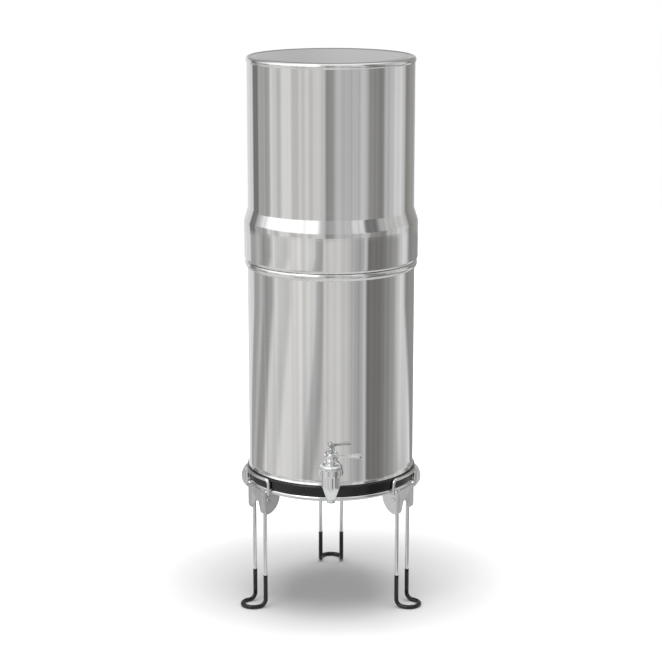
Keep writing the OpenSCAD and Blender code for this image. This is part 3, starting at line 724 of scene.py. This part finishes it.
# %% Turn the base ring
BAND_ROUND, LIP_H, LIP_WIDE = 3.4, 1.9, 11.2
inner = LOWER_R + 0.1
lip_top = BAND_Z + LIP_H
lip_in = LOWER_R - LIP_WIDE
outline = (
    [(inner, lip_top), (inner, BAND_TOP - BAND_ROUND)]
    + oval((inner, BAND_TOP - BAND_ROUND), BAND_R - inner, BAND_ROUND, 90, 0, 12)
    + [(BAND_R, BAND_TOP - 6), (BAND_R, BAND_Z + 2)]
    + arc((BAND_R - 1.2, BAND_Z + 1.2), 1.2, 0, -90, 6)
    + arc((lip_in + 0.8, BAND_Z + 0.8), 0.8, -90, -180, 4)
    + [(lip_in, lip_top)])
to_piece("base_band", lathe(outline), "base_ring")

# %% [markdown]
# ## Round wire
# Ring, loops, legs and foot coats are all round wire. A wire is built the way a bending machine
# feeds it: a round section is pushed straight on for a length, or swung round a centre. Both are
# one operator each, an extrusion and a spin, and every section keeps its shape.

# %% The wire bender
class BentWire:
    """A round wire in millimetres that starts at a point and is fed on piece by piece."""

    def __init__(self, radius, start, heading, sides=28):
        self.bm = bmesh.new()
        self.at = Vector(start)
        self.heading = Vector(heading).normalized()
        turn = self.heading.to_track_quat("Z", "Y").to_matrix().to_4x4()
        made = bmesh.ops.create_circle(
            self.bm, cap_ends=True, radius=radius * MM, segments=sides,
            matrix=Matrix.Translation(self.at * MM) @ turn)
        self.front = list(dict.fromkeys(e for v in made["verts"] for e in v.link_edges
                                        if all(u in made["verts"] for u in e.verts)))

    def straight(self, length, runs=1):
        """Feeds the wire on along its heading."""
        for _ in range(runs):
            made = bmesh.ops.extrude_edge_only(self.bm, edges=self.front)["geom"]
            tip = [v for v in made if isinstance(v, bmesh.types.BMVert)]
            bmesh.ops.translate(self.bm, vec=self.heading * length / runs * MM, verts=tip)
            self.front = [e for e in made if isinstance(e, bmesh.types.BMEdge)
                          and all(v in tip for v in e.verts)]
        self.at = self.at + self.heading * length
        return self

    def bend(self, centre, axis, degrees, steps=10):
        """Swings the wire's end round an axis through centre."""
        angle = math.radians(degrees)
        made = bmesh.ops.spin(
            self.bm, geom=self.front, cent=Vector(centre) * MM, axis=Vector(axis),
            dvec=(0, 0, 0), angle=angle, steps=steps, use_merge=False, use_duplicate=False)
        self.front = [e for e in made["geom_last"] if isinstance(e, bmesh.types.BMEdge)]
        turn = Matrix.Rotation(angle, 3, Vector(axis))
        self.at = Vector(centre) + turn @ (self.at - Vector(centre))
        self.heading = turn @ self.heading
        return self

    def close(self, round_over):
        """Caps the end, and rounds both ends over."""
        bmesh.ops.contextual_create(self.bm, geom=self.front)
        ends = [f for f in self.bm.faces if len(f.verts) > 4]
        round_edges(self.bm, list(dict.fromkeys(e for f in ends for e in f.edges)), round_over, 4)
        return self.bm


SIDES = {"left": -60, "right": 60, "rear": 180}


def to_side(name, bm, side, node, *more, **settings):
    """Turns a shape made at the front to its side of the stand, and makes it a piece there."""
    bmesh.ops.transform(bm, matrix=CHAMBER_AXIS @ swing(SIDES[side]), verts=bm.verts)
    to_piece(name + "_" + side, bm, node, *more, **settings)


# %% [markdown]
# ## The wire ring
# The whole filter stands on this ring. It is one wire bent round and welded shut.

# %% Bend the ring
bm = bmesh.new()
made = bmesh.ops.create_circle(bm, cap_ends=False, radius=WIRE_R * MM, segments=32,
                               matrix=shift(RING_R, 0, RING_Z) @ swing(90, "X"))
edges = list(dict.fromkeys(e for v in made["verts"] for e in v.link_edges))
spin_round(bm, made["verts"] + edges, 240)
bmesh.ops.transform(bm, matrix=CHAMBER_AXIS, verts=bm.verts)
to_piece("ring_wire", bm, "stand_ring")

# %% [markdown]
# ## The legs
# Each leg is one hairpin of wire. Its two ends turn outwards and sit in the cheeks of a bracket,
# where they are the pivots, and its closed end is bent forward into a foot.

# %% Bend the legs
LEG_R, HALF_GAP, LEG_WIRE, COAT_OVER = 108.6, 14.6, 2.4, 0.4
PIVOT_Z, COAT_TOP, PIN_END = RING_Z - 13.1, 45.0, 25.6
FOOT_Z = LEG_WIRE + COAT_OVER / 2
FOOT_BEND, PIN_BEND, FOOT_OUT = 9.0, 5.0, 25
FOOT_RUN = FOOT_OUT - FOOT_BEND - HALF_GAP


def foot(wire):
    """The part that leg and coat share: down, forward, round the U, back and up again."""
    low_y = -LEG_R - FOOT_BEND
    wire.bend((-HALF_GAP, low_y, FOOT_Z + FOOT_BEND), (-1, 0, 0), 90)
    wire.straight(FOOT_RUN)
    wire.bend((0, low_y - FOOT_RUN, FOOT_Z), (0, 0, 1), 180, steps=28)
    wire.straight(FOOT_RUN)
    wire.bend((HALF_GAP, low_y, FOOT_Z + FOOT_BEND), (1, 0, 0), 90)
    return wire


def leg(side):
    rod = PIVOT_Z - PIN_BEND - FOOT_Z - FOOT_BEND
    wire = BentWire(LEG_WIRE, (-PIN_END, -LEG_R, PIVOT_Z), (1, 0, 0))
    wire.straight(PIN_END - HALF_GAP - PIN_BEND)
    wire.bend((-HALF_GAP - PIN_BEND, -LEG_R, PIVOT_Z - PIN_BEND), (0, 1, 0), 90)
    wire.straight(rod, runs=3)
    foot(wire)
    wire.straight(rod, runs=3)
    wire.bend((HALF_GAP + PIN_BEND, -LEG_R, PIVOT_Z - PIN_BEND), (0, 1, 0), 90)
    wire.straight(PIN_END - HALF_GAP - PIN_BEND)
    to_side("hairpin", wire.close(0.6), side, "leg_" + side)


for side in SIDES:
    leg(side)

# %% [markdown]
# The feet are dipped in black vinyl. The dip leaves a coat with a thick rounded edge at the
# height where the wire went into the bath, and it is pressed flat where the foot stands.

# %% Dip the feet
def foot_coat(side):
    rod = COAT_TOP - FOOT_Z - FOOT_BEND
    wire = BentWire(LEG_WIRE + COAT_OVER, (-HALF_GAP, -LEG_R, COAT_TOP), (0, 0, -1))
    wire.straight(rod, runs=4)
    foot(wire)
    wire.straight(rod, runs=4)
    bm = wire.close(0.38)
    for vert in bm.verts:
        vert.co.z = max(vert.co.z, 0.0)
    to_side("dipped_foot", bm, side, "foot_coat_" + side)


for side in SIDES:
    foot_coat(side)

# %% [markdown]
# ## The retaining loops
# Above each bracket a hoop of thinner wire rises past the black ring and keeps the filter from
# sliding off. Its top follows the ring's curve, so its middle stretch is a bend about the
# chambers' own axis.

# %% Bend the loops
LOOP_WIRE, LOOP_BEND, LOOP_ANGLE = 2.1, 6.0, 15.0
LOOP_R = RING_R + WIRE_R + LOOP_WIRE
LOOP_Z, LOOP_BOTTOM = RING_Z + 15.4, RING_Z - 4.6
LOOP_HALF = LOOP_ANGLE - math.degrees(math.atan(LOOP_BEND / LOOP_R))


def loop(side):
    left, right = swing(-LOOP_HALF, size=3), swing(LOOP_HALF, size=3)
    rise = LOOP_Z - LOOP_BEND - LOOP_BOTTOM
    wire = BentWire(LOOP_WIRE, left @ Vector((-LOOP_BEND, -LOOP_R, LOOP_BOTTOM)), (0, 0, 1),
                    sides=24)
    wire.straight(rise, runs=2)
    wire.bend(left @ Vector((0, -LOOP_R, LOOP_Z - LOOP_BEND)), left @ Vector((0, 1, 0)), 90)
    wire.bend((0, 0, LOOP_Z), (0, 0, 1), 2 * LOOP_HALF, steps=24)
    wire.bend(right @ Vector((0, -LOOP_R, LOOP_Z - LOOP_BEND)), right @ Vector((0, 1, 0)), 90)
    wire.straight(rise, runs=2)
    to_side("hoop", wire.close(0.5), side, "loop_" + side)


for side in SIDES:
    loop(side)

# %% [markdown]
# ## Brackets and ears
# These are stamped from sheet, and their flat outlines are right in the exact model already. What
# a stamped and bent sheet has and the model lacks is a soft edge, so a copy of each is merged,
# its flat triangles are dissolved into whole faces, and its edges get a small bevel.

# %% Soften a stamped sheet
def soften(name, node, width, segments=2):
    """Makes a piece from a merged copy of a node, with its sharp edges rounded by width."""
    bm = bmesh.new()
    bm.from_mesh(nodes[node].data)
    bmesh.ops.remove_doubles(bm, verts=bm.verts, dist=0.004 * MM)
    bmesh.ops.dissolve_limit(bm, angle_limit=math.radians(1.5), verts=bm.verts, edges=bm.edges,
                             use_dissolve_boundaries=False, delimit=set())
    bm.normal_update()
    round_edges(bm, hard_edges(bm, 28), width, segments, clamp_overlap=True, loop_slide=True)
    to_piece(name, bm, node, turn=False)


for side in SIDES:
    soften("stamped_bracket_" + side, "bracket_" + side, 0.22)
for side in ("left", "right"):
    soften("stamped_ear_" + side, "ear_" + side, 0.3)

# %% [markdown]
# Two shallow half-round ribs are pressed into each bracket's web, over the rods of the leg. They
# stiffen the sheet where the leg leans on it.

# %% Press the ribs
WEB_R, WEB_H, WEB_HIGH = LEG_R + 4.3, 30.5, RING_Z - 2.6
WEB_LOW = WEB_HIGH - WEB_H
RIB_SHORT, RIB_WIDE, RIB_DEEP, RIB_ROUND = 9, 2.4, 0.55, 2.2


def ribs(side):
    bm = bmesh.new()
    length = WEB_HIGH - WEB_LOW - RIB_SHORT
    for x in (-HALF_GAP, HALF_GAP):
        made = bmesh.ops.create_uvsphere(bm, u_segments=24, v_segments=16, radius=1.0)["verts"]
        for vert in made:
            stretch = length / 2 - RIB_ROUND if abs(vert.co.z) > 1e-6 else 0
            lift = math.copysign(stretch, vert.co.z)
            vert.co = Vector((vert.co.x * RIB_WIDE, vert.co.y * RIB_DEEP,
                              vert.co.z * RIB_ROUND + lift)) * MM
        middle = (WEB_LOW + WEB_HIGH) / 2 + 1.5
        bmesh.ops.translate(bm, vec=Vector((x, -WEB_R + 0.02, middle)) * MM, verts=made)
    to_side("pressed_ribs", bm, side, "bracket_" + side, replace=False)


for side in SIDES:
    ribs(side)

# %% [markdown]
# ## Weld beads
# Spot and arc welds hold the stand together. Small uneven beads sit where a loop crosses the ring
# and where a bracket's web meets it. Each is a squashed icosphere whose surface is pushed about
# by a few waves, which is enough at this size.

# %% Lay the beads
LOOP_BEAD, WEB_BEAD = (0.9, 0.8, 1.9), (2.2, 0.9, 0.8)


def bead(bm, centre, size, twist):
    """One weld bead: an uneven lump of the given half-sizes, in millimetres."""
    made = bmesh.ops.create_icosphere(bm, subdivisions=3, radius=1.0)["verts"]
    for vert in made:
        wave = 1 + 0.07 * math.sin(5 * vert.co.x + twist) * math.cos(4 * vert.co.z - twist)
        vert.co = Vector(a * b for a, b in zip(vert.co * wave, size)) * MM
    bmesh.ops.translate(bm, vec=Vector(centre) * MM, verts=made)


def welds(side):
    bm = bmesh.new()
    for sign in (-1, 1):
        spot = swing(sign * LOOP_HALF, size=3) @ Vector(
            (sign * LOOP_BEND, -LOOP_R + LOOP_WIRE, RING_Z))
        for dx in (-1.7, 1.7):
            bead(bm, spot + Vector((dx, 0.1, 0)), LOOP_BEAD, sign + dx)
        for x in (8.0, 17.0):
            under = Vector((sign * x, 0, RING_Z - WIRE_R + 0.4))
            under.y = -math.sqrt((RING_R + 0.6) ** 2 - under.x ** 2)
            bead(bm, under + Vector((0, -1.6, 0)), WEB_BEAD, x)
    to_side("weld_beads", bm, side, "stand_ring", "weld_bead", replace=False)


for side in SIDES:
    welds(side)

# %% [markdown]
# ## The tap
# The tap's body is one brass casting under chrome: an upright fluted barrel with a cone and a
# nozzle below it, and a shank that goes through the wall with a flange outside. The barrel is
# turned, and its flutes are then cut the way a ball-ended cutter does it: every point of the
# surface that lies inside the cutter's path is drawn in to the cutter's own surface.

# %% Read the tap's sizes
TAP_OUT, SHANK_END, COLLAR_OUT = 25.6, LOWER_R + 17.2, 2.4
TAP_Y = AXIS_Y - LOWER_R - TAP_OUT
FLANGE_R, SHANK_R, PORT_R = 16.0, 8.0, 4.5
SHANK_Z = barrel_high[2] - FLANGE_R
BARREL_R, NOZZLE_R, OUTLET_R = 12.2, 5.4, 3.6
BARREL_TOP, BARREL_LOW = SHANK_Z + 11.1, SHANK_Z - 12.0
NOZZLE_Z = barrel_low[2]
CONE_Z = NOZZLE_Z + 4.7
VALVE_R, VALVE_LOW = 8.0, NOZZLE_Z + 22
FLANGE_Y, SHANK_START = LOWER_R + 1.8, LOWER_R - SHEET - 15.0
TAP_AXIS, SHANK_AXIS = shift(0, TAP_Y, 0), shift(0, AXIS_Y, SHANK_Z) @ swing(90, "X")
print("tap axis at y %.1f, shank at z %.1f" % (TAP_Y, SHANK_Z))

# %% Cut the flutes
FLUTES = 12
CUTTER_R, FLUTE_DEEP = 3.0, 0.8
CUTTER_AT = BARREL_R + CUTTER_R - FLUTE_DEEP
FLUTE_LOW, FLUTE_TOP = BARREL_LOW - 4.5, BARREL_TOP - 7.0


def fluted_radius(radius, z, angle):
    """Where the surface of the barrel lies once the cutter has passed, in millimetres."""
    pitch = 2 * math.pi / FLUTES
    off = (angle % pitch) - pitch / 2
    if not FLUTE_LOW < z < FLUTE_TOP:
        return radius
    into_end = max(0.0, z - (FLUTE_TOP - CUTTER_R))
    cutter = math.sqrt(max(0.0, CUTTER_R ** 2 - into_end ** 2))
    side = CUTTER_AT * math.sin(off)
    if abs(side) >= cutter:
        return radius
    return min(radius, CUTTER_AT * math.cos(off) - math.sqrt(cutter ** 2 - side ** 2))


def thread(radius, start, stop, pitch=1.2, depth=0.45):
    """Turned rings that stand for a fine thread, as outline points from start to stop."""
    count = max(1, int(abs(stop - start) / pitch))
    step = (stop - start) / count
    points = []
    for k in range(count):
        points += [(radius, start + step * (k + 0.15)), (radius - depth, start + step * (k + 0.6))]
    return points + [(radius, stop)]


# %% Turn the casting
wall = [(BARREL_R, BARREL_LOW + 0.6 + k * (FLUTE_TOP - BARREL_LOW) / 26) for k in range(27)]
cone = [(NOZZLE_R + (BARREL_R - NOZZLE_R) * t, CONE_Z + (BARREL_LOW - CONE_Z) * t)
        for t in [k / 10 for k in range(10)]]
outline = (
    [(OUTLET_R, NOZZLE_Z + 0.4), (OUTLET_R + 0.4, NOZZLE_Z)]
    + arc((NOZZLE_R - 0.5, NOZZLE_Z + 0.5), 0.5, -90, 0, 4) + cone + wall
    + [(BARREL_R, BARREL_TOP - 5), (BARREL_R, BARREL_TOP), (VALVE_R, BARREL_TOP),
       (VALVE_R, VALVE_LOW), (OUTLET_R, VALVE_LOW)])
bm = lathe(outline, steps=192, place=Matrix.Identity(4))
for vert in bm.verts:
    radius = math.hypot(vert.co.x, vert.co.y) / MM
    if radius > VALVE_R + 0.5 and vert.co.z / MM < BARREL_TOP - 1:
        cut = fluted_radius(radius, vert.co.z / MM, math.atan2(vert.co.y, vert.co.x))
        vert.co.x *= cut / radius
        vert.co.y *= cut / radius
bmesh.ops.transform(bm, matrix=TAP_AXIS, verts=bm.verts)
shank = (
    [(PORT_R, SHANK_START), (SHANK_R - 0.5, SHANK_START)]
    + thread(SHANK_R, SHANK_START + 0.5, FLANGE_Y - 0.4)
    + [(SHANK_R, FLANGE_Y), (FLANGE_R - 0.5, FLANGE_Y)]
    + oval((FLANGE_R - 0.8, FLANGE_Y + 0.9), 0.8, 0.9, -90, 45, 8)
    + [(FLANGE_R - 2.6, FLANGE_Y + 2.9), (SHANK_R + 1.6, FLANGE_Y + 3.2)]
    + arc((SHANK_R + 1.6, FLANGE_Y + 4.8), 1.6, -90, -180, 6)
    + [(SHANK_R, SHANK_END), (PORT_R, SHANK_END)])
to_piece("tap_casting", lathe(shank, steps=96, place=SHANK_AXIS, bm=bm), "tap_body", sharp=40)

# %% [markdown]
# The collar is a twelve-sided nut, so it starts as a twelve-sided cone operator with two equal
# radii. Its top corners are chamfered, its top face is sunk round the neck, and all its edges are
# softened a little, as plated edges always are.

# %% Cut the collar
COLLAR_R, COLLAR_H = BARREL_R + COLLAR_OUT, 6.0
COLLAR_SIDES, NECK_R = 12, 7.2
CHAMFER, SINK_IN, SINK_SLOPE, SINK_DEEP, PLATED_EDGE = 1.7, 2.4, 0.3, 0.8, 0.28
bm = bmesh.new()
bmesh.ops.create_cone(bm, cap_ends=True, segments=COLLAR_SIDES, radius1=COLLAR_R * MM,
                      radius2=COLLAR_R * MM, depth=COLLAR_H * MM,
                      matrix=shift(0, TAP_Y, BARREL_TOP + COLLAR_H / 2))
bm.faces.ensure_lookup_table()
top = max(bm.faces, key=lambda face: face.calc_center_median().z)
round_edges(bm, list(top.edges), CHAMFER, 1)
top = max(bm.faces, key=lambda face: face.calc_center_median().z)
bmesh.ops.inset_region(bm, faces=[top], thickness=SINK_IN * MM, depth=0)
bmesh.ops.inset_region(bm, faces=[top], thickness=SINK_SLOPE * MM, depth=-SINK_DEEP * MM)
round_edges(bm, hard_edges(bm, 20), PLATED_EDGE, 3, clamp_overlap=True)
to_piece("tap_collar_nut", bm, "tap_collar", sharp=25)

# %% [markdown]
# The neck above the collar is turned, with a groove and a small bead under the lever.

# %% Turn the neck
NECK_H, NECK_SUNK = 9.2, 1.4
NECK_TOP = BARREL_TOP + COLLAR_H + NECK_H
low = BARREL_TOP + COLLAR_H - NECK_SUNK
outline = (
    [(0, low), (NECK_R - 0.1, low), (NECK_R - 0.1, low + 2.4)]
    + oval((NECK_R - 0.1, low + 3.2), 0.7, 0.5, -90, -270, 6)
    + [(NECK_R - 0.1, NECK_TOP - 3.4)]
    + oval((NECK_R - 0.7, NECK_TOP - 2.2), 0.7, 1.0, -60, 60, 6)
    + [(NECK_R - 0.9, NECK_TOP - 1.0), (NECK_R - 0.9, NECK_TOP - 0.1),
       (NECK_R - 1.2, NECK_TOP), (0, NECK_TOP)])
to_piece("tap_neck", lathe(outline, steps=96, place=TAP_AXIS), "tap_bonnet", sharp=38)

# %% [markdown]
# The lever is a forged strap: a round hub, a narrow neck and a paddle for the thumb. Its outline
# is one face, extruded to the strap's thickness. The top is inset and sunk a little, which leaves
# the raised rim that catches the light, and every edge is rounded.

# %% Forge the lever
LEVER_L, LEVER_T, PADDLE_R = 40.4, 2.9, 6.0
HUB_R, LEVER_NECK = NECK_R + 0.2, 2.3
LEVER_Z = NECK_TOP + 0.3
PADDLE_FROM, PADDLE_NECK = LEVER_L / 2 + 6, 3.9
RAISED_RIM, RIM_SLOPE, RIM_DEEP, LEVER_EDGE = 0.9, 0.35, 0.25, 0.3
bm = bmesh.new()
paddle = (LEVER_L - PADDLE_R, 0)
outline = (
    arc((0, 0), HUB_R, 28, 332, 44)
    + [(HUB_R + 2.4, -LEVER_NECK - 0.25), (HUB_R + 6, -LEVER_NECK),
       (LEVER_L / 2, -LEVER_NECK - 0.1), (PADDLE_FROM, -PADDLE_NECK)]
    + arc(paddle, PADDLE_R, -104, 104, 26)
    + [(PADDLE_FROM, PADDLE_NECK), (LEVER_L / 2, LEVER_NECK + 0.1), (HUB_R + 6, LEVER_NECK),
       (HUB_R + 2.4, LEVER_NECK + 0.25)])
face = bm.faces.new([bm.verts.new((x * MM, (y + TAP_Y) * MM, LEVER_Z * MM))
                     for x, y in outline])
made = bmesh.ops.extrude_face_region(bm, geom=[face])["geom"]
bmesh.ops.translate(bm, vec=(0, 0, LEVER_T * MM),
                    verts=[v for v in made if isinstance(v, bmesh.types.BMVert)])
bmesh.ops.recalc_face_normals(bm, faces=bm.faces)
top = [f for f in bm.faces if f.normal.z > 0.9]
bmesh.ops.inset_region(bm, faces=top, thickness=RAISED_RIM * MM, depth=0)
bmesh.ops.inset_region(bm, faces=top, thickness=RIM_SLOPE * MM, depth=-RIM_DEEP * MM)
rims = [e for e in hard_edges(bm, 25) if abs(e.verts[0].co.z - e.verts[1].co.z) < 1e-7]
round_edges(bm, rims, LEVER_EDGE, 3, clamp_overlap=True)
to_piece("tap_lever_strap", bm, "tap_lever", sharp=40)

# %% [markdown]
# A slotted screw holds the lever. Only its head shows.

# %% Set the screw
SCREW_R, SLOT_HALF, SLOT_DEEP = 3.2, 0.45, 0.6
bm = bmesh.new()
low = LEVER_Z + LEVER_T - 0.5
outline = ([(0, low), (SCREW_R + 0.6, low)]
           + arc((SCREW_R - 0.4, low + 1.0), 1.0, 0, 90, 8)
           + [(0, low + 2.0)])
lathe(outline, steps=48, place=TAP_AXIS, bm=bm)
slot = [v for v in bm.verts if abs(v.co.x) < SLOT_HALF * MM and v.co.z > (low + 1.9) * MM]
bmesh.ops.translate(bm, vec=(0, 0, -SLOT_DEEP * MM), verts=slot)
to_piece("lever_screw_head", bm, "lever_screw", sharp=35)

# %% [markdown]
# Inside the lower chamber a flat washer and a hexagonal nut clamp the shank. The exact shapes are
# right, so they are only softened.

# %% Soften the back nut and its washer
soften("back_nut_soft", "tap_back_nut", 0.45, 3)
soften("flat_washer_soft", "tap_flat_washer", 0.2)

# %% [markdown]
# ## The candles
# A candle is a thin-walled ceramic shell with a domed top, cast in a plaster mould, so its wall
# is very slightly rough and has no sharp edge. A cup of pale plastic is glued to its foot, and the
# cup's hollow stem drops through the chamber's floor to a wing nut.

# %% Cast the candles
CANDLE_R, CANDLE_WALL, CANDLE_H, CANDLE_X = 26.0, 8.0, 180.0, 48.0
CUP_Z, CUP_WALL = SPIGOT_Z + SHEET + 2.0, 2.1
STEM_R, STEM_BORE, STEM_DOWN, STEM_PITCH = 6.0, 2.5, 24.0, 1.5


def candle(side, x):
    low = CUP_Z + 4
    dome = low + CANDLE_H - CANDLE_R
    outline = (
        [(CANDLE_R - CANDLE_WALL, low), (CANDLE_R - 0.1, low), (CANDLE_R - 0.1, low + 60),
         (CANDLE_R, low + 110)]
        + arc((0, dome), CANDLE_R, 0, 90, 24)
        + arc((0, dome), CANDLE_R - CANDLE_WALL, 90, 0, 14))
    place = shift(x, AXIS_Y, 0)
    to_piece("ceramic_shell_" + side, lathe(outline, steps=128, place=place), "candle_" + side)
    cup_r = CANDLE_R + CUP_WALL
    stem_low = SPIGOT_Z - STEM_DOWN
    cup = (
        [(STEM_BORE, stem_low), (STEM_R - 0.6, stem_low)]
        + thread(STEM_R, stem_low + 0.6, CUP_Z - 3, STEM_PITCH)
        + [(STEM_R, CUP_Z), (cup_r - 0.8, CUP_Z)]
        + arc((cup_r - 0.8, CUP_Z + 0.8), 0.8, -90, 0, 5)
        + arc((cup_r - 0.6, CUP_Z + 13.4), 0.6, 0, 90, 4)
        + arc((CANDLE_R + 0.6, CUP_Z + 13.5), 0.5, 90, 180, 4)
        + [(CANDLE_R + 0.1, CUP_Z + 4), (STEM_BORE, CUP_Z + 4)])
    to_piece("candle_cup_" + side, lathe(cup, steps=96, place=place), "candle_base_" + side)


candle("left", -CANDLE_X)
candle("right", CANDLE_X)

# %% [markdown]
# Wing nuts hold the candles from below. The chamber has two more holes for candles, and a plug
# with a domed head and a nut closes each. The plugs are turned again, because a thread's rings
# show best in an outline. The nuts' exact shapes are right and are only softened.

# %% Plugs, wing nuts and plug nuts
HEAD_R, PLUG_Y, PLUG_DOWN = STEM_R + 7.0, 48.0, 13.0
bm = bmesh.new()
low = SPIGOT_Z - PLUG_DOWN
outline = (
    [(0, low), (STEM_R - 0.6, low)] + thread(STEM_R, low + 0.6, CUP_Z - 3, STEM_PITCH)
    + [(STEM_R, CUP_Z), (HEAD_R - 0.5, CUP_Z), (HEAD_R, CUP_Z + 0.5)]
    + arc((HEAD_R - 2, CUP_Z + 4.0), 2, 0, 90, 8)
    + [(4.0, CUP_Z + 6), (3.0, CUP_Z + 5.2), (0, CUP_Z + 5.0)])
for y in (-PLUG_Y, PLUG_Y):
    lathe(outline, steps=64, place=shift(0, AXIS_Y + y, 0), bm=bm)
to_piece("turned_plugs", bm, "blanking_plugs")
for nuts in ("wing_nuts", "plug_nuts"):
    soften(nuts + "_soft", nuts, 0.6, 3)
